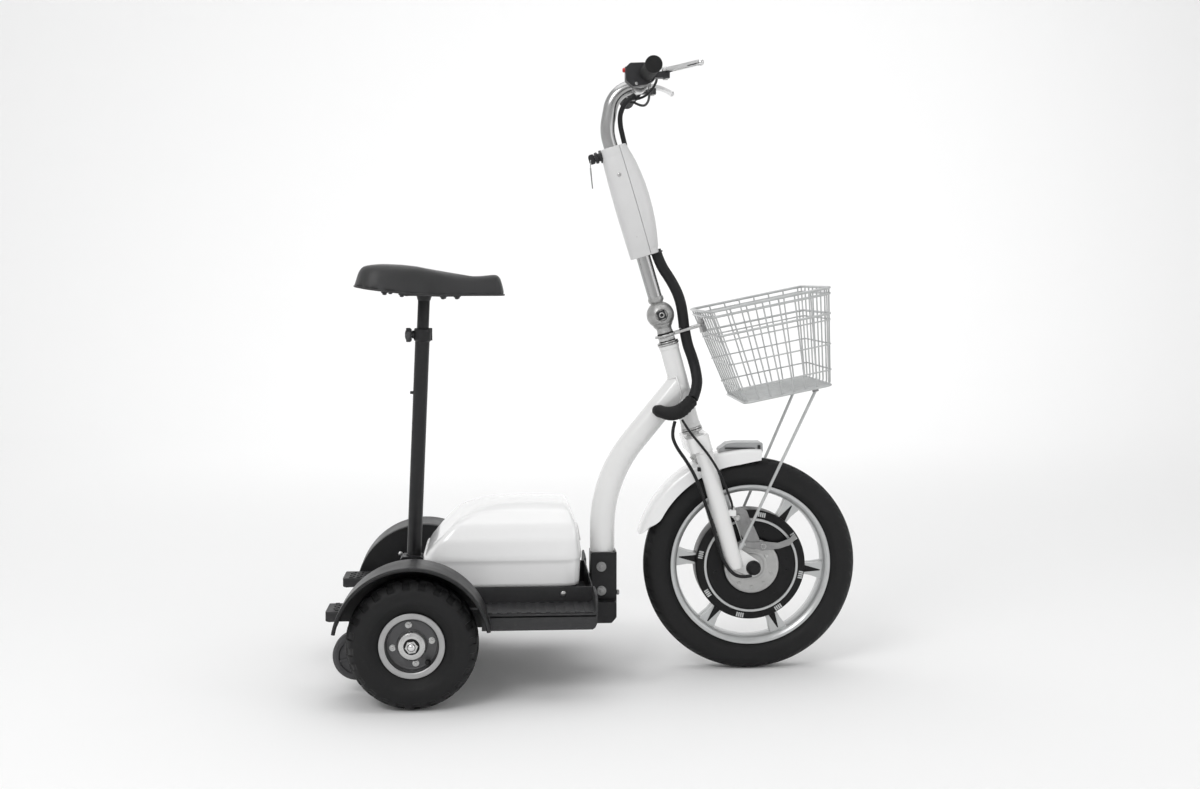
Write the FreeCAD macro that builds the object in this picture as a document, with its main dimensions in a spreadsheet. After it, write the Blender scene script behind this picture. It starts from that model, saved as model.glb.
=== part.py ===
import FreeCAD, Part
import Sketcher
import math
import os

# Three-wheeled electric mobility scooter: stand-on or sit-on, hub motor in
# the front wheel, two rear wheels, saddle on a telescopic post, wire basket.
# Frame: +X forward, +Y to the rider's left, +Z up, ground at z = 0, origin
# under the middle of the bounding box.  Drawing coordinates put x = 0 at
# the rear axle; every sub-part is moved back by frame_shift at the end.

doc = FreeCAD.newDocument("mobility_scooter")
sheet = doc.addObject("Spreadsheet::Sheet", "Sheet")

CELLS = [
    ("frame_shift", 360.0),
    ("wheelbase", 670.0),
    ("front_rad", 216.5),
    ("front_half_width", 31.0),
    ("front_bead_rad", 158.0),
    ("rear_rad", 123.0),
    ("rear_half_width", 41.0),
    ("rear_bead_rad", 57.0),
    ("rear_centre", 255.0),
    ("axle_rad", 8.0),
    ("axle_half", 289.0),
    ("run_gap", 0.05),
    ("head_lean", 15.53),
    ("head_bottom_x", 550.5),
    ("head_bottom_z", 495.3),
    ("head_length", 173.0),
    ("head_rad", 19.0),
    ("head_bore", 16.0),
    ("steerer_rad", 12.7),
    ("main_tube_rad", 25.0),
    ("main_tube_wall", 2.0),
    ("leg_rad", 17.0),
    ("leg_side", 58.0),
    ("stem_rad", 14.3),
    ("stem_wall", 2.0),
    ("bar_rad", 11.0),
    ("bar_half", 288.0),
    ("bar_x", 443.0),
    ("bar_z", 1180.0),
    ("grip_rad", 15.0),
    ("ball_rad", 28.0),
    ("pin_rad", 5.0),
    ("post_rad", 11.95),
    ("seat_tube_rad", 14.5),
    ("seat_lean", 2.73),
    ("loom_rad", 11.0),
    ("spindle_rad", 6.0),
    ("roller_rad", 47.0),
    ("roller_x", -111.0),
    ("roller_z", 76.0),
    ("board_top", 170.0),
    ("board_outer", 244.0),
    ("tray_half", 137.0),
    ("tray_top", 199.0),
    ("fender_rad", 147.0),
    ("guard_rad", 237.0),
    ("cover_wall", 3.0),
    ("basket_wall", 2.0),
]
for i, (alias, value) in enumerate(CELLS, 1):
    sheet.set("B%d" % i, repr(value))
    sheet.setAlias("B%d" % i, alias)
doc.recompute()


class Dim:
    """A size that keeps both its number and its spreadsheet expression."""

    def __init__(self, value, text):
        self.value = float(value)
        self.text = text

    def __add__(self, other):
        return combine(self, other, "+")

    def __radd__(self, other):
        return combine(other, self, "+")

    def __sub__(self, other):
        return combine(self, other, "-")

    def __rsub__(self, other):
        return combine(other, self, "-")

    def __mul__(self, other):
        return combine(self, other, "*")

    def __rmul__(self, other):
        return combine(other, self, "*")

    def __neg__(self):
        return combine(0.0, self, "-")


def halves(a):
    return (a.value, a.text) if isinstance(a, Dim) else (float(a), "%.6f" % float(a))


def combine(a, b, sign):
    (av, at), (bv, bt) = halves(a), halves(b)
    value = av + bv if sign == "+" else av - bv if sign == "-" else av * bv
    return Dim(value, "(%s %s %s)" % (at, sign, bt))


def num(a):
    return a.value if isinstance(a, Dim) else float(a)


D = {alias: Dim(value, "Sheet." + alias) for alias, value in CELLS}
vec = FreeCAD.Vector
NO_TURN = FreeCAD.Rotation(0, 0, 0, 1)
ALONG_Y = FreeCAD.Rotation(vec(1, 0, 0), -90)      # local z becomes +Y
ALONG_Y_NEG = FreeCAD.Rotation(vec(1, 0, 0), 90)   # local z becomes -Y
count = [0]


def fresh(stem):
    count[0] += 1
    return "%s_%03d" % (stem, count[0])


def bind(obj, prop, value):
    if isinstance(value, Dim):
        obj.setExpression(prop, value.text)


def put(obj, at, turn=NO_TURN):
    obj.Placement = FreeCAD.Placement(vec(*[num(c) for c in at]), turn)
    for axis, c in zip("xyz", at):
        if isinstance(c, Dim):
            obj.setExpression("Placement.Base." + axis, c.text)
    return obj


def cyl(rad, height, at=(0, 0, 0), turn=NO_TURN):
    o = doc.addObject("Part::Cylinder", fresh("Cylinder"))
    o.Radius, o.Height = num(rad), num(height)
    bind(o, "Radius", rad)
    bind(o, "Height", height)
    return put(o, at, turn)


def rod_y(rad, y0, y1, x, z):
    """Cylinder along +Y from y0 to y1."""
    return cyl(rad, y1 - y0 if not isinstance(y1, Dim) and not isinstance(y0, Dim)
               else combine(y1, y0, "-"), (x, y0, z), ALONG_Y)


def between(rad, p, q):
    """Cylinder from point p to point q."""
    p, q = vec(*p), vec(*q)
    d = q - p
    return cyl(rad, d.Length, tuple(p), FreeCAD.Rotation(vec(0, 0, 1), d))


def box(x0, x1, y0, y1, z0, z1):
    o = doc.addObject("Part::Box", fresh("Box"))
    for prop, lo, hi in (("Length", x0, x1), ("Width", y0, y1), ("Height", z0, z1)):
        size = combine(hi, lo, "-") if isinstance(hi, Dim) or isinstance(lo, Dim) else hi - lo
        setattr(o, prop, num(size))
        bind(o, prop, size)
    return put(o, (x0, y0, z0))


def ball(rad, at):
    o = doc.addObject("Part::Sphere", fresh("Sphere"))
    o.Radius = num(rad)
    bind(o, "Radius", rad)
    return put(o, at)


def fuse(*objs):
    o = doc.addObject("Part::MultiFuse", fresh("Fusion"))
    o.Shapes = list(objs)
    return o


def group(*objs):
    o = doc.addObject("Part::Compound", fresh("Group"))
    o.Links = list(objs)
    return o


def cut(base, *tools):
    o = doc.addObject("Part::Cut", fresh("Cut"))
    o.Base = base
    o.Tool = tools[0] if len(tools) == 1 else fuse(*tools)
    return o


def common(a, b):
    o = doc.addObject("Part::Common", fresh("Common"))
    o.Base, o.Tool = a, b
    return o


def raw(shape):
    o = doc.addObject("Part::Feature", fresh("Shape"))
    o.Shape = shape
    return o


# ---- the steering frame: s runs up the head tube, u forward across it
LEAN = math.radians(num(D["head_lean"]))
AX = vec(-math.sin(LEAN), 0, math.cos(LEAN))
ACROSS = vec(math.cos(LEAN), 0, math.sin(LEAN))
HEAD = vec(num(D["head_bottom_x"]), 0, num(D["head_bottom_z"]))
HEAD_TURN = FreeCAD.Rotation(vec(0, 1, 0), -num(D["head_lean"]))


def sp(s, u=0.0, y=0.0):
    p = HEAD + AX * s + ACROSS * u
    return (p.x, y, p.z)


def scyl(rad, s0, s1, u=0.0, y=0.0):
    """Cylinder parallel to the steering axis."""
    height = combine(s1, s0, "-") if isinstance(s1, Dim) else s1 - s0
    return cyl(rad, height, sp(s0, u, y), HEAD_TURN)


def sbox(s0, s1, u0, u1, y0, y1):
    o = box(0, u1 - u0, 0, y1 - y0, 0, s1 - s0)
    return put(o, sp(s0, u0, y0), HEAD_TURN)


# ---- sketches and bodies
def plane(body, role):
    return [f for f in body.Origin.OriginFeatures if f.Role == role][0]


def polygon(body, role, pts):
    """Closed sketch whose corners are tied to the sheet by their coordinates."""
    sk = body.newObject("Sketcher::SketchObject", fresh("Sketch"))
    sk.AttachmentSupport = [(plane(body, role), "")]
    sk.MapMode = "FlatFace"
    n = len(pts)
    flat = [vec(num(a), num(b), 0) for a, b in pts]
    for i in range(n):
        sk.addGeometry(Part.LineSegment(flat[i], flat[(i + 1) % n]), False)
    for i in range(n):
        sk.addConstraint(Sketcher.Constraint("Coincident", i, 2, (i + 1) % n, 1))
    for i, (a, b) in enumerate(pts):
        for kind, c in (("DistanceX", a), ("DistanceY", b)):
            k = sk.addConstraint(Sketcher.Constraint(kind, -1, 1, i, 1, num(c)))
            if isinstance(c, Dim):
                sk.setExpression("Constraints[%d]" % k, c.text)
    return sk


def turned(pts, at, angle=360.0, start=0.0):
    """Body of revolution about its own Y axis; corners are (radius, y)."""
    body = doc.addObject("PartDesign::Body", fresh("Body"))
    sk = polygon(body, "XY_Plane", pts)
    rev = body.newObject("PartDesign::Revolution", fresh("Revolution"))
    rev.Profile = sk
    rev.ReferenceAxis = (sk, ["V_Axis"])
    rev.Angle = angle
    sk.Visibility = False
    put(body, at, FreeCAD.Rotation(vec(0, 1, 0), start))
    return body


def padded(role, pts, length, at=(0, 0, 0), mid=True, turn=NO_TURN):
    """Body padded from a polygon, symmetric about its plane when mid."""
    body = doc.addObject("PartDesign::Body", fresh("Body"))
    sk = polygon(body, role, pts)
    pad = body.newObject("PartDesign::Pad", fresh("Pad"))
    pad.Profile = sk
    pad.Length = num(length)
    bind(pad, "Length", length)
    pad.Midplane = mid
    sk.Visibility = False
    put(body, at, turn)
    return body


def route(pts, share=0.45, radii=None):
    """Wire of straight runs joined by tangent arcs, and its arc radii."""
    pts = [vec(*p) for p in pts]
    edges, at, found = [], pts[0], []
    for i in range(1, len(pts) - 1):
        a, b, c = pts[i - 1], pts[i], pts[i + 1]
        d0, d1 = (b - a), (c - b)
        turn = d0.getAngle(d1)
        if turn < 1e-3:
            continue
        back = share * min(d0.Length, d1.Length)
        r = back / math.tan(turn / 2)
        if radii and radii[i] is not None:
            r = radii[i]
            back = r * math.tan(turn / 2)
        d0.normalize()
        d1.normalize()
        p, q = b - d0 * back, b + d1 * back
        inward = (d1 - d0)
        inward.normalize()
        middle = b + inward * (r / math.cos(turn / 2) - r)
        edges.append(Part.LineSegment(at, p).toShape())
        edges.append(Part.Arc(p, middle, q).toShape())
        at = q
        found.append(round(r, 1))
    edges.append(Part.LineSegment(at, pts[-1]).toShape())
    return Part.Wire(edges), found


def tube(pts, rad, share=0.45, radii=None, note=None):
    """Round bar swept along a route."""
    wire, found = route(pts, share, radii)
    path = doc.addObject("Part::Feature", fresh("Route"))
    path.Shape = wire
    ring = doc.addObject("Part::Circle", fresh("Section"))
    ring.Radius = num(rad)
    bind(ring, "Radius", rad)
    d = vec(*pts[1]) - vec(*pts[0])
    put(ring, pts[0], FreeCAD.Rotation(vec(0, 0, 1), d))
    sw = doc.addObject("Part::Sweep", fresh("Sweep"))
    sw.Sections = [ring]
    sw.Spine = (path, ["Edge%d" % (k + 1) for k in range(len(wire.Edges))])
    sw.Solid = True
    if note:
        print(note, "length", round(wire.Length, 1), "radii", found)
        checks.append((note, sw, wire.Length, num(rad)))
    return sw


checks = []
subs = []


def sub(name, obj, at=(0.0, 0.0, 0.0)):
    """Name a sub-part and move it into the row's frame."""
    obj.Label = name
    x = combine(at[0], D["frame_shift"], "-")
    base = obj.Placement.Base
    turn = obj.Placement.Rotation
    if at == (0.0, 0.0, 0.0) and base.Length > 1e-9:
        x = combine(base.x, D["frame_shift"], "-")
        at = (x, base.y, base.z)
    else:
        at = (x, at[1], at[2])
    obj.Placement = FreeCAD.Placement(vec(num(at[0]), num(at[1]), num(at[2])), turn)
    obj.setExpression("Placement.Base.x", at[0].text)
    for axis, c in zip("yz", at[1:]):
        if isinstance(c, Dim):
            obj.setExpression("Placement.Base." + axis, c.text)
    subs.append(obj)
    return obj


SIDES = (("right", -1), ("left", 1))

# ======================================================== chassis
# main tube: upright out of the bracket, then leaning forward to the head
main_pts = [(370, 0, 112), (370, 0, 392), (527.5, 0, 584.6)]
outer = tube(main_pts, D["main_tube_rad"], radii=[None, 280.0, None])
inner = tube([(370, 0, 111), (370, 0, 392), (528.2, 0, 585.4)],
             D["main_tube_rad"] - D["main_tube_wall"], radii=[None, 280.0, None])
sub("down_tube", cut(outer, inner, scyl(D["head_rad"], -5, 200)))

sub("head_tube", cut(scyl(D["head_rad"], 0.0, D["head_length"]),
                     scyl(D["head_bore"], -1.0, D["head_length"] + 1)))

cup_bore = D["steerer_rad"] + D["run_gap"]
sub("headset_cups", group(
    cut(fuse(scyl(22.0, -10.0, 0.0), scyl(16.0, 0.0, 12.0)), scyl(cup_bore, -12.0, 14.0)),
    cut(fuse(scyl(22.0, 173.0, 181.0), scyl(16.0, 161.0, 173.0)), scyl(cup_bore, 159.0, 183.0))))

# bracket that clamps the foot of the main tube to the deck frame
bracket = fuse(
    padded("XZ_Plane", [(345, 246), (395, 246), (397, 244), (397, 119), (385, 107), (345, 107)], 63),
    padded("XZ_Plane", [(345, 150), (395, 150), (395, 119), (385, 107), (345, 107)], 116))
sub("front_bracket", cut(bracket, cyl(D["main_tube_rad"], 200, (370, 0, 112)),
                         box(345 - 1, 398, -25, 25, 246 - 1, 260)))

fasteners = []
for _, side in SIDES:
    turn = ALONG_Y if side > 0 else ALONG_Y_NEG
    for z in (217, 168):
        fasteners.append(cyl(8, 5.5, (366, side * 31.5, z), turn))
    fasteners.append(cyl(11, 12, (0, side * D["axle_half"], D["rear_rad"]), turn))
    fasteners.append(cyl(6, 3, (285, side * 137.0, 185), turn))
    fasteners.append(cyl(9, 4, (-27, side * 24.0, 225), turn))
fasteners.append(cyl(5.5, 8, (397, 0, 158), FreeCAD.Rotation(vec(0, 1, 0), 90)))
sub("chassis_fasteners", group(*fasteners))

rails = fuse(
    box(-90, 345, 70, 100, 112, 152), box(-90, 345, -100, -70, 112, 152),
    box(300, 345, -70, 70, 112, 152), box(-90, -60, -126, 126, 122, 150))
sub("chassis_frame", cut(rails, rod_y(D["axle_rad"], -150, 150, 0, D["rear_rad"]),
                         box(-85, 295, 74, 96, 116, 148), box(-85, 295, -96, -74, 116, 148)))

sub("rear_axle", rod_y(D["axle_rad"], -D["axle_half"], D["axle_half"], 0, D["rear_rad"]))

# tray for the batteries, with a flat tail under the seat post
sub("deck_tray", cut(
    fuse(box(20, 343, -D["tray_half"], D["tray_half"], 152, D["tray_top"]),
         box(-95, 20, -118, 118, 152, 168)),
    box(23, 340, -D["tray_half"] + 3, D["tray_half"] - 3, 155, 210)))

sub("battery_pack", group(*[box(28 + 96 * k, 122 + 96 * k, -75.5, 75.5, 155, 251) for k in range(3)]))
sub("motor_controller", fuse(box(110, 240, -45, 45, 251, 285),
                             *[box(114, 236, -42 + 14 * k, -36 + 14 * k, 284, 293) for k in range(7)]))

# white body cover: a domed shell standing on the tray's rim
def hood(grow):
    g = grow
    side = [(21 + g, 0, 199), (21 + g, 0, 236), (13 + g, 0, 246), (22 + g, 0, 266), (42 + g, 0, 290 - g),
            (82 + g * .5, 0, 328 - g), (123, 0, 346 - g), (163, 0, 355.5 - g), (203, 0, 359 - g),
            (250, 0, 358 - g), (286 - g, 0, 355 - g), (294 - g, 0, 348 - g), (316 - g, 0, 304),
            (322 - g, 0, 244), (322 - g, 0, 199)]
    face = Part.Face(Part.makePolygon([vec(*p) for p in side + side[:1]]))
    body = face.extrude(vec(0, 400, 0))
    body.translate(vec(0, -200, 0))
    front = [(-136 + g, 199), (-136 + g, 262), (-131 + g, 290), (-118 + g, 316), (-95 + g * .6, 338 - g * .7),
             (-62, 352 - g), (0, 360 - g)]
    front = front + [(-a, b) for a, b in front[-2::-1]]
    pts = [vec(-10, a, b) for a, b in front]
    other = Part.Face(Part.makePolygon(pts + pts[:1])).extrude(vec(400, 0, 0))
    return body.common(other)


wall = num(D["cover_wall"])
plug = hood(wall)
foot = Part.makeBox(322 - 21 - 2 * wall, 272 - 2 * wall, 20, vec(21 + wall, -136 + wall, 190))
sub("body_cover", raw(hood(0.0).cut(plug).cut(foot).removeSplitter()))

for name, side in SIDES:
    lo, hi = (-1, 1) if side > 0 else (1, -1)
    plan = [(-166.5, 120 * side), (18, 120 * side), (18, 138 * side), (346, 138 * side),
            (346, D["board_outer"] * side), (127, D["board_outer"] * side), (127, 196 * side), (-166.5, 196 * side)]
    slab = padded("XY_Plane", plan, 6.0, (0, 0, D["board_top"] - 6), mid=False)
    a, b = sorted((240.0 * side, 244.0 * side))
    c, d = sorted((138.0 * side, 244.0 * side))
    e, f = sorted((120.0 * side, 196.0 * side))
    sub("running_board_" + name, fuse(
        slab, box(127, 346, a, b, 139, 166), box(340, 346, c, d, 168, 205),
        box(-166.5, -161.5, e, f, 150, 166)))

# rear mudguards: a rolled arch with a closed inner wall on the board
for name, side in SIDES:
    a, b = sorted((196.0 * side, 300.0 * side))
    c, d = sorted((196.0 * side, 200.0 * side))
    arch = cut(rod_y(D["fender_rad"], a, b, 0, D["rear_rad"]),
               rod_y(D["fender_rad"] - 4, a - 1, b + 1, 0, D["rear_rad"]))
    web = rod_y(D["fender_rad"] - 2, c, d, 0, D["rear_rad"])
    sub("rear_fender_" + name, cut(
        fuse(arch, web), box(-200, 200, a - 5, b + 5, -40, 150),
        box(0, 200, a - 5, b + 5, 140, 174)))

# anti-tip roller arms with their stub axles
arms = []
for _, side in SIDES:
    a, b = sorted((126.0 * side, 132.0 * side))
    arm = padded("XZ_Plane", [(-92, 152), (-55, 152), (-55, 120), (-100, 64), (-124, 72), (-118, 92)], 6.0,
                 (0, side * 129.0, 0))
    a, b = sorted((126.0 * side, 170.0 * side))
    c, d = sorted((170.0 * side, 174.0 * side))
    arms.append(fuse(arm, rod_y(5.0, a, b, D["roller_x"], D["roller_z"]),
                     rod_y(9.0, c, d, D["roller_x"], D["roller_z"])))
sub("antitip_arms", group(*arms))
for name, side in SIDES:
    b = 5.0 + D["run_gap"]
    r = D["roller_rad"]
    sub("antitip_roller_" + name,
        turned([(b, -15), (b, 15), (16, 15), (16, 10), (r - 12, 10), (r - 12, 15), (r - 5, 15), (r, 11),
                (r, -11), (r - 5, -15), (r - 12, -15), (r - 12, -10), (16, -10), (16, -15)],
               (0, 0, 0)), (D["roller_x"], side * 153.0, D["roller_z"]))

# ---- seat: socket, telescopic post, clamp knob, saddle
SEAT_TURN = FreeCAD.Rotation(vec(0, 1, 0), num(D["seat_lean"]))
SEAT_DIR = vec(math.sin(math.radians(num(D["seat_lean"]))), 0, math.cos(math.radians(num(D["seat_lean"]))))
SEAT_FOOT = vec(-13.9, 0, 168.2)


def on_post(t):
    p = SEAT_FOOT + SEAT_DIR * t
    return (p.x, p.y, p.z)


seat_bore = D["post_rad"] + D["run_gap"]
sub("seat_socket", cut(box(-38, 10, -24, 24, 168, 240), cyl(D["seat_tube_rad"], 120, on_post(0), SEAT_TURN)))
knob_at = on_post(516)
sub("seat_tube", cut(
    fuse(cyl(D["seat_tube_rad"], 529, on_post(0.6), SEAT_TURN), cyl(18.0, 26, on_post(503), SEAT_TURN),
         between(8.0, (knob_at[0] - 14.0, 0, knob_at[2]), (knob_at[0] - 24.0, 0, knob_at[2]))),
    cyl(seat_bore, 560, on_post(2), SEAT_TURN),
    between(3.05, (knob_at[0] - 12.3, 0, knob_at[2]), (knob_at[0] - 26.0, 0, knob_at[2]))))
sub("seat_knob", fuse(
    between(3.0, (knob_at[0] - 13.0, 0, knob_at[2]), (knob_at[0] - 27.0, 0, knob_at[2])),
    between(11.0, (knob_at[0] - 24.5, 0, knob_at[2]), (knob_at[0] - 38.0, 0, knob_at[2])),
    box(knob_at[0] - 38.0, knob_at[0] - 25.0, -15.0, 15.0, knob_at[2] - 3.5, knob_at[2] + 3.5)))
sub("seat_post", fuse(
    cyl(D["post_rad"], 597.5 - 330, on_post(330), SEAT_TURN),
    box(-25, 60, -24, 24, on_post(597.5)[2] - 4, on_post(597.5)[2] + 3)))


def saddle_shape(base):
    side = [(-118, 0, base), (-122, 0, base + 22), (-116, 0, base + 40), (-100, 0, base + 53), (-70, 0, base + 55),
            (-33, 0, base + 53), (20, 0, base + 42), (70, 0, base + 31), (106, 0, base + 27), (140, 0, base + 29),
            (162, 0, base + 31), (171, 0, base + 20), (170, 0, base)]
    body = Part.Face(Part.makePolygon([vec(*p) for p in side + side[:1]])).extrude(vec(0, 260, 0))
    body.translate(vec(0, -130, 0))
    half = [(-122, 60), (-117, 84), (-100, 102), (-70, 110), (-35, 106), (0, 90), (30, 66), (60, 46), (100, 36),
            (145, 32), (165, 22), (172, 8)]
    ring = [vec(a, b, base - 1) for a, b in half] + [vec(a, -b, base - 1) for a, b in half[::-1]]
    plan = Part.Face(Part.makePolygon(ring + ring[:1])).extrude(vec(0, 0, 80))
    return body.common(plan).removeSplitter()


sub("saddle", raw(saddle_shape(on_post(597.5)[2] + 3.0)))

# ======================================================== front wheel and fork
W, R = D["wheelbase"], D["front_rad"]
axle_s = -300.6
axle_u = 40.5

steerer = scyl(D["steerer_rad"], -16.0, 198.0)
fork_bits = [steerer, sbox(-44, -14, -22, 24, -75, 75), sbox(-65, -44, -9, 9, -12, 12)]
for _, side in SIDES:
    fork_bits.append(scyl(D["leg_rad"], -292.0, -28.0, 6.0, side * num(D["leg_side"])))
    a, b = sorted((55.0 * side, 61.0 * side))
    fork_bits.append(sbox(-318, -240, -4, 54, a, b))
fork_bits.append(box(606, 634, -64, -52, 322, 334))
sub("fork", cut(fuse(*fork_bits), rod_y(D["spindle_rad"], -80, 80, W, R),
                between(3.2, (629, -58, 320), (629, -58, 336))))

ring_bore = D["steerer_rad"]
sub("fork_hardware", group(
    cut(scyl(17.0, 182.0, 191.0), scyl(ring_bore, 180.0, 193.0)),
    cut(scyl(17.0, 196.2, 198.0), scyl(ring_bore, 195.0, 199.0)),
    rod_y(11.0, 61.0, 72.0, W, R), rod_y(11.0, -72.0, -61.0, W, R),
    cut(rod_y(14.0, 43.5, 55.0, W, R), rod_y(D["spindle_rad"], 43.0, 56.0, W, R)),
    cut(rod_y(14.0, -55.0, -40.0, W, R), rod_y(D["spindle_rad"], -56.0, -39.0, W, R))))

sub("hub_axle_stator", fuse(rod_y(D["spindle_rad"], -61.0, 61.0, W, R), rod_y(30.0, -20.0, 18.0, W, R),
                            rod_y(98.0, -16.0, 16.0, W, R)))

g = D["guard_rad"]
guard = turned([(g - 4, -34), (g, -34), (g, 34), (g - 4, 34)], (0, 0, 0), 80.0, -165.0)
skirts = turned([(g - 33, -38), (g - 1, -38), (g, -34), (g, 34), (g - 1, 38), (g - 33, 38), (g - 33, 35),
                 (g - 4, 35), (g - 4, -35), (g - 33, -35)], (0, 0, 0), 80.0, -164.0)
doc.removeObject(guard.Name)
sub("front_fender", skirts, (W, 0.0, R))

sub("front_lamp", cut(padded("XZ_Plane", [(606, 440), (606, 450), (622, 463), (692, 464), (692, 440)], 46),
                      rod_y(g + 0.2, -60, 60, W, R)))

# brake plate closes the hub on the right; its cam carries the arm
cam = (692.0, 258.0)
sub("brake_plate", cut(rod_y(55.0, -40.0, -34.5, W, R), rod_y(D["spindle_rad"], -60, 0, W, R),
                       rod_y(5.0 + D["run_gap"], -45, -30, cam[0], cam[1])))
arm = padded("XZ_Plane", [(757, 281), (720, 264), (cam[0], cam[1] + 9), (cam[0] - 20, cam[1] + 7), (646, 267),
                          (645, 257), (cam[0] - 20, cam[1] - 4), (cam[0], cam[1] - 9), (722, 253), (760, 273)],
             4.0, (0, -46.0, 0))
sub("brake_arm", fuse(arm, rod_y(5.0, -50.0, -35.5, cam[0], cam[1]), rod_y(5.0, -53.0, -44.0, 651, 262)))

# wire basket, drawn as its envelope: a tapered open tub tilted up to the front
TILT = math.radians(11.6)
bu, bw = vec(math.cos(TILT), 0, math.sin(TILT)), vec(-math.sin(TILT), 0, math.cos(TILT))
BASE = vec(640, 0, 550)


def rim_wire(u0, u1, half, w, r=14.0):
    pts = []
    for cx, cy, a0 in ((u1 - r, half - r, 0), (u0 + r, half - r, 90), (u0 + r, -half + r, 180), (u1 - r, -half + r, 270)):
        for k in range(4):
            a = math.radians(a0 + 30 * k)
            p = BASE + bu * (cx + r * math.cos(a)) + bw * w
            pts.append(vec(p.x, cy + r * math.sin(a), p.z))
    return Part.makePolygon(pts + pts[:1])


def tub(inset, w0, w1):
    def at(w):
        f = w / 194.4
        return rim_wire(-36.7 * f + inset, 178.7 + 27.6 * f - inset, 120 + 25 * f - inset, w)
    return Part.makeLoft([at(w0), at(w1)], True, True)


bt = num(D["basket_wall"])
sub("basket", raw(tub(0.0, 0.0, 194.4).cut(tub(bt, bt, 196.0))))

supports = [cut(scyl(23.0, 191.0, 196.2), scyl(D["steerer_rad"], 189.0, 198.0))]
for side in (-1, 1):
    p, q = sp(193.6, 17.0, 14.0 * side), (571.5, 14.0 * side, 703.4)
    supports[0] = fuse(supports[0], between(3.0, p, q))
supports[0] = fuse(supports[0], box(568.5, 572.5, -22, 22, 696, 712))
for side in (-1, 1):
    supports.append(between(3.0, (786, 92 * side, 575.5), (645, 64.2 * side, 262)))
sub("basket_supports", group(*supports))

# wheel: cast rim, six spokes and motor shell in one, tyre, side cover
spokes = []
for k in range(6):
    body = padded("XZ_Plane", [(-11, 108), (11, 108), (18, 154), (-18, 154)], 30.0, (0, 0, 0),
                  turn=FreeCAD.Rotation(vec(0, 1, 0), 60 * k - 24))
    spokes.append(body)
shell = turned([(6.0 + D["run_gap"], 24), (6.0 + D["run_gap"], 42), (14, 42), (14, 34), (80, 31), (112, 27),
                (112, -27), (105, -27), (105, 24)], (0, 0, 0))
bead = D["front_bead_rad"]
felloe = turned([(151, -24), (bead, -28), (bead + 5, -28), (bead + 5, -25), (bead, -22), (bead, 22),
                 (bead + 5, 25), (bead + 5, 28), (bead, 28), (151, 24)], (0, 0, 0))
sub("front_rim", fuse(shell, felloe, *spokes), (W, 0.0, R))
sub("motor_cover", turned([(57, -34), (80, -33), (112, -29), (112, -27), (98, -27), (57, -30)], (0, 0, 0)),
    (W, 0.0, R))
h = D["front_half_width"]
sub("front_tyre", turned([(bead, -22), (bead + 5.2, -25.2), (bead + 12, -29), (bead + 24, -h), (R - 20, -28),
                          (R - 7, -19), (R, -8), (R, 8), (R - 7, 19), (R - 20, 28), (bead + 24, h),
                          (bead + 12, 29), (bead + 5.2, 25.2), (bead, 22)], (0, 0, 0)), (W, 0.0, R))

# ---- rear wheels
r, h, q = D["rear_rad"], D["rear_half_width"], D["rear_bead_rad"]
for name, side in SIDES:
    s = side
    tyre = [(q, -24 * s), (q + 4, -30 * s), (q + 16, -38 * s), (q + 32, -h * s), (r - 10, -36 * s), (r - 2, -26 * s), (r, -12 * s),
            (r, 12 * s), (r - 2, 26 * s), (r - 10, 36 * s), (q + 32, h * s), (q + 16, 38 * s), (q + 4, 30 * s), (q, 24 * s)]
    sub("rear_tyre_" + name, turned(tyre, (0, 0, 0)), (0.0, side * D["rear_centre"], r))
    b = D["axle_rad"] + D["run_gap"]
    rim = [(b, -33 * s), (b, 33 * s), (18, 33 * s), (26, 29 * s), (26, 16 * s), (46, 13 * s), (50, 29 * s), (q + 3.5, 30.2 * s),
           (q, 24 * s), (q, -24 * s), (q + 3.5, -30.2 * s), (50, -29 * s), (46, -6 * s), (26, -6 * s), (26, -29 * s), (18, -33 * s)]
    sub("rear_rim_" + name, turned(rim, (0, 0, 0)), (0.0, side * D["rear_centre"], r))

# ======================================================== steering stem
PIVOT = vec(*sp(236.0))
pivot = (PIVOT.x, 0.0, PIVOT.z)
yoke = cut(fuse(ball(D["ball_rad"], pivot), scyl(15.0, 198.3, 236.0)),
           sbox(208.4, 300.0, -60, 60, -10, 10), rod_y(D["pin_rad"], -40, 40, pivot[0], pivot[2]))
sub("fold_yoke", yoke)
sub("fold_pin", rod_y(D["pin_rad"], -29.0, 29.0, pivot[0], pivot[2]))

STEM_TOP = [(378.0, 0.0, 1088.0), (392.0, 0.0, 1164.0), (443.0, 0.0, 1180.0)]
stem_dir = vec(*STEM_TOP[0]) - PIVOT
stem_dir.normalize()
STEM_TURN = FreeCAD.Rotation(vec(0, 0, 1), stem_dir)
foot = PIVOT + stem_dir * 30.0
full = tube([tuple(foot)] + STEM_TOP, D["stem_rad"], radii=[None, 90.0, 52.0, None])
hollow = tube([tuple(foot + stem_dir * 20)] + STEM_TOP, D["stem_rad"] - D["stem_wall"], radii=[None, 90.0, 52.0, None])
tongue = common(ball(27.0, pivot), box(pivot[0] - 40, pivot[0] + 40, -9.6, 9.6, pivot[2] - 40, pivot[2] + 40))
link = box(0, 20, 0, 19.2, 0, 22)
put(link, tuple(PIVOT + stem_dir * 12 + STEM_TURN.multVec(vec(-10, -9.6, 0))), STEM_TURN)
clamp = rod_y(17.0, -21.0, 21.0, D["bar_x"], D["bar_z"])
sub("stem_tube", cut(fuse(full, tongue, link, clamp), hollow,
                     rod_y(D["bar_rad"], -40, 40, D["bar_x"], D["bar_z"]),
                     rod_y(D["pin_rad"] + D["run_gap"], -20, 20, pivot[0], pivot[2])))
sub("handlebar", rod_y(D["bar_rad"], -D["bar_half"], D["bar_half"], D["bar_x"], D["bar_z"]))

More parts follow.
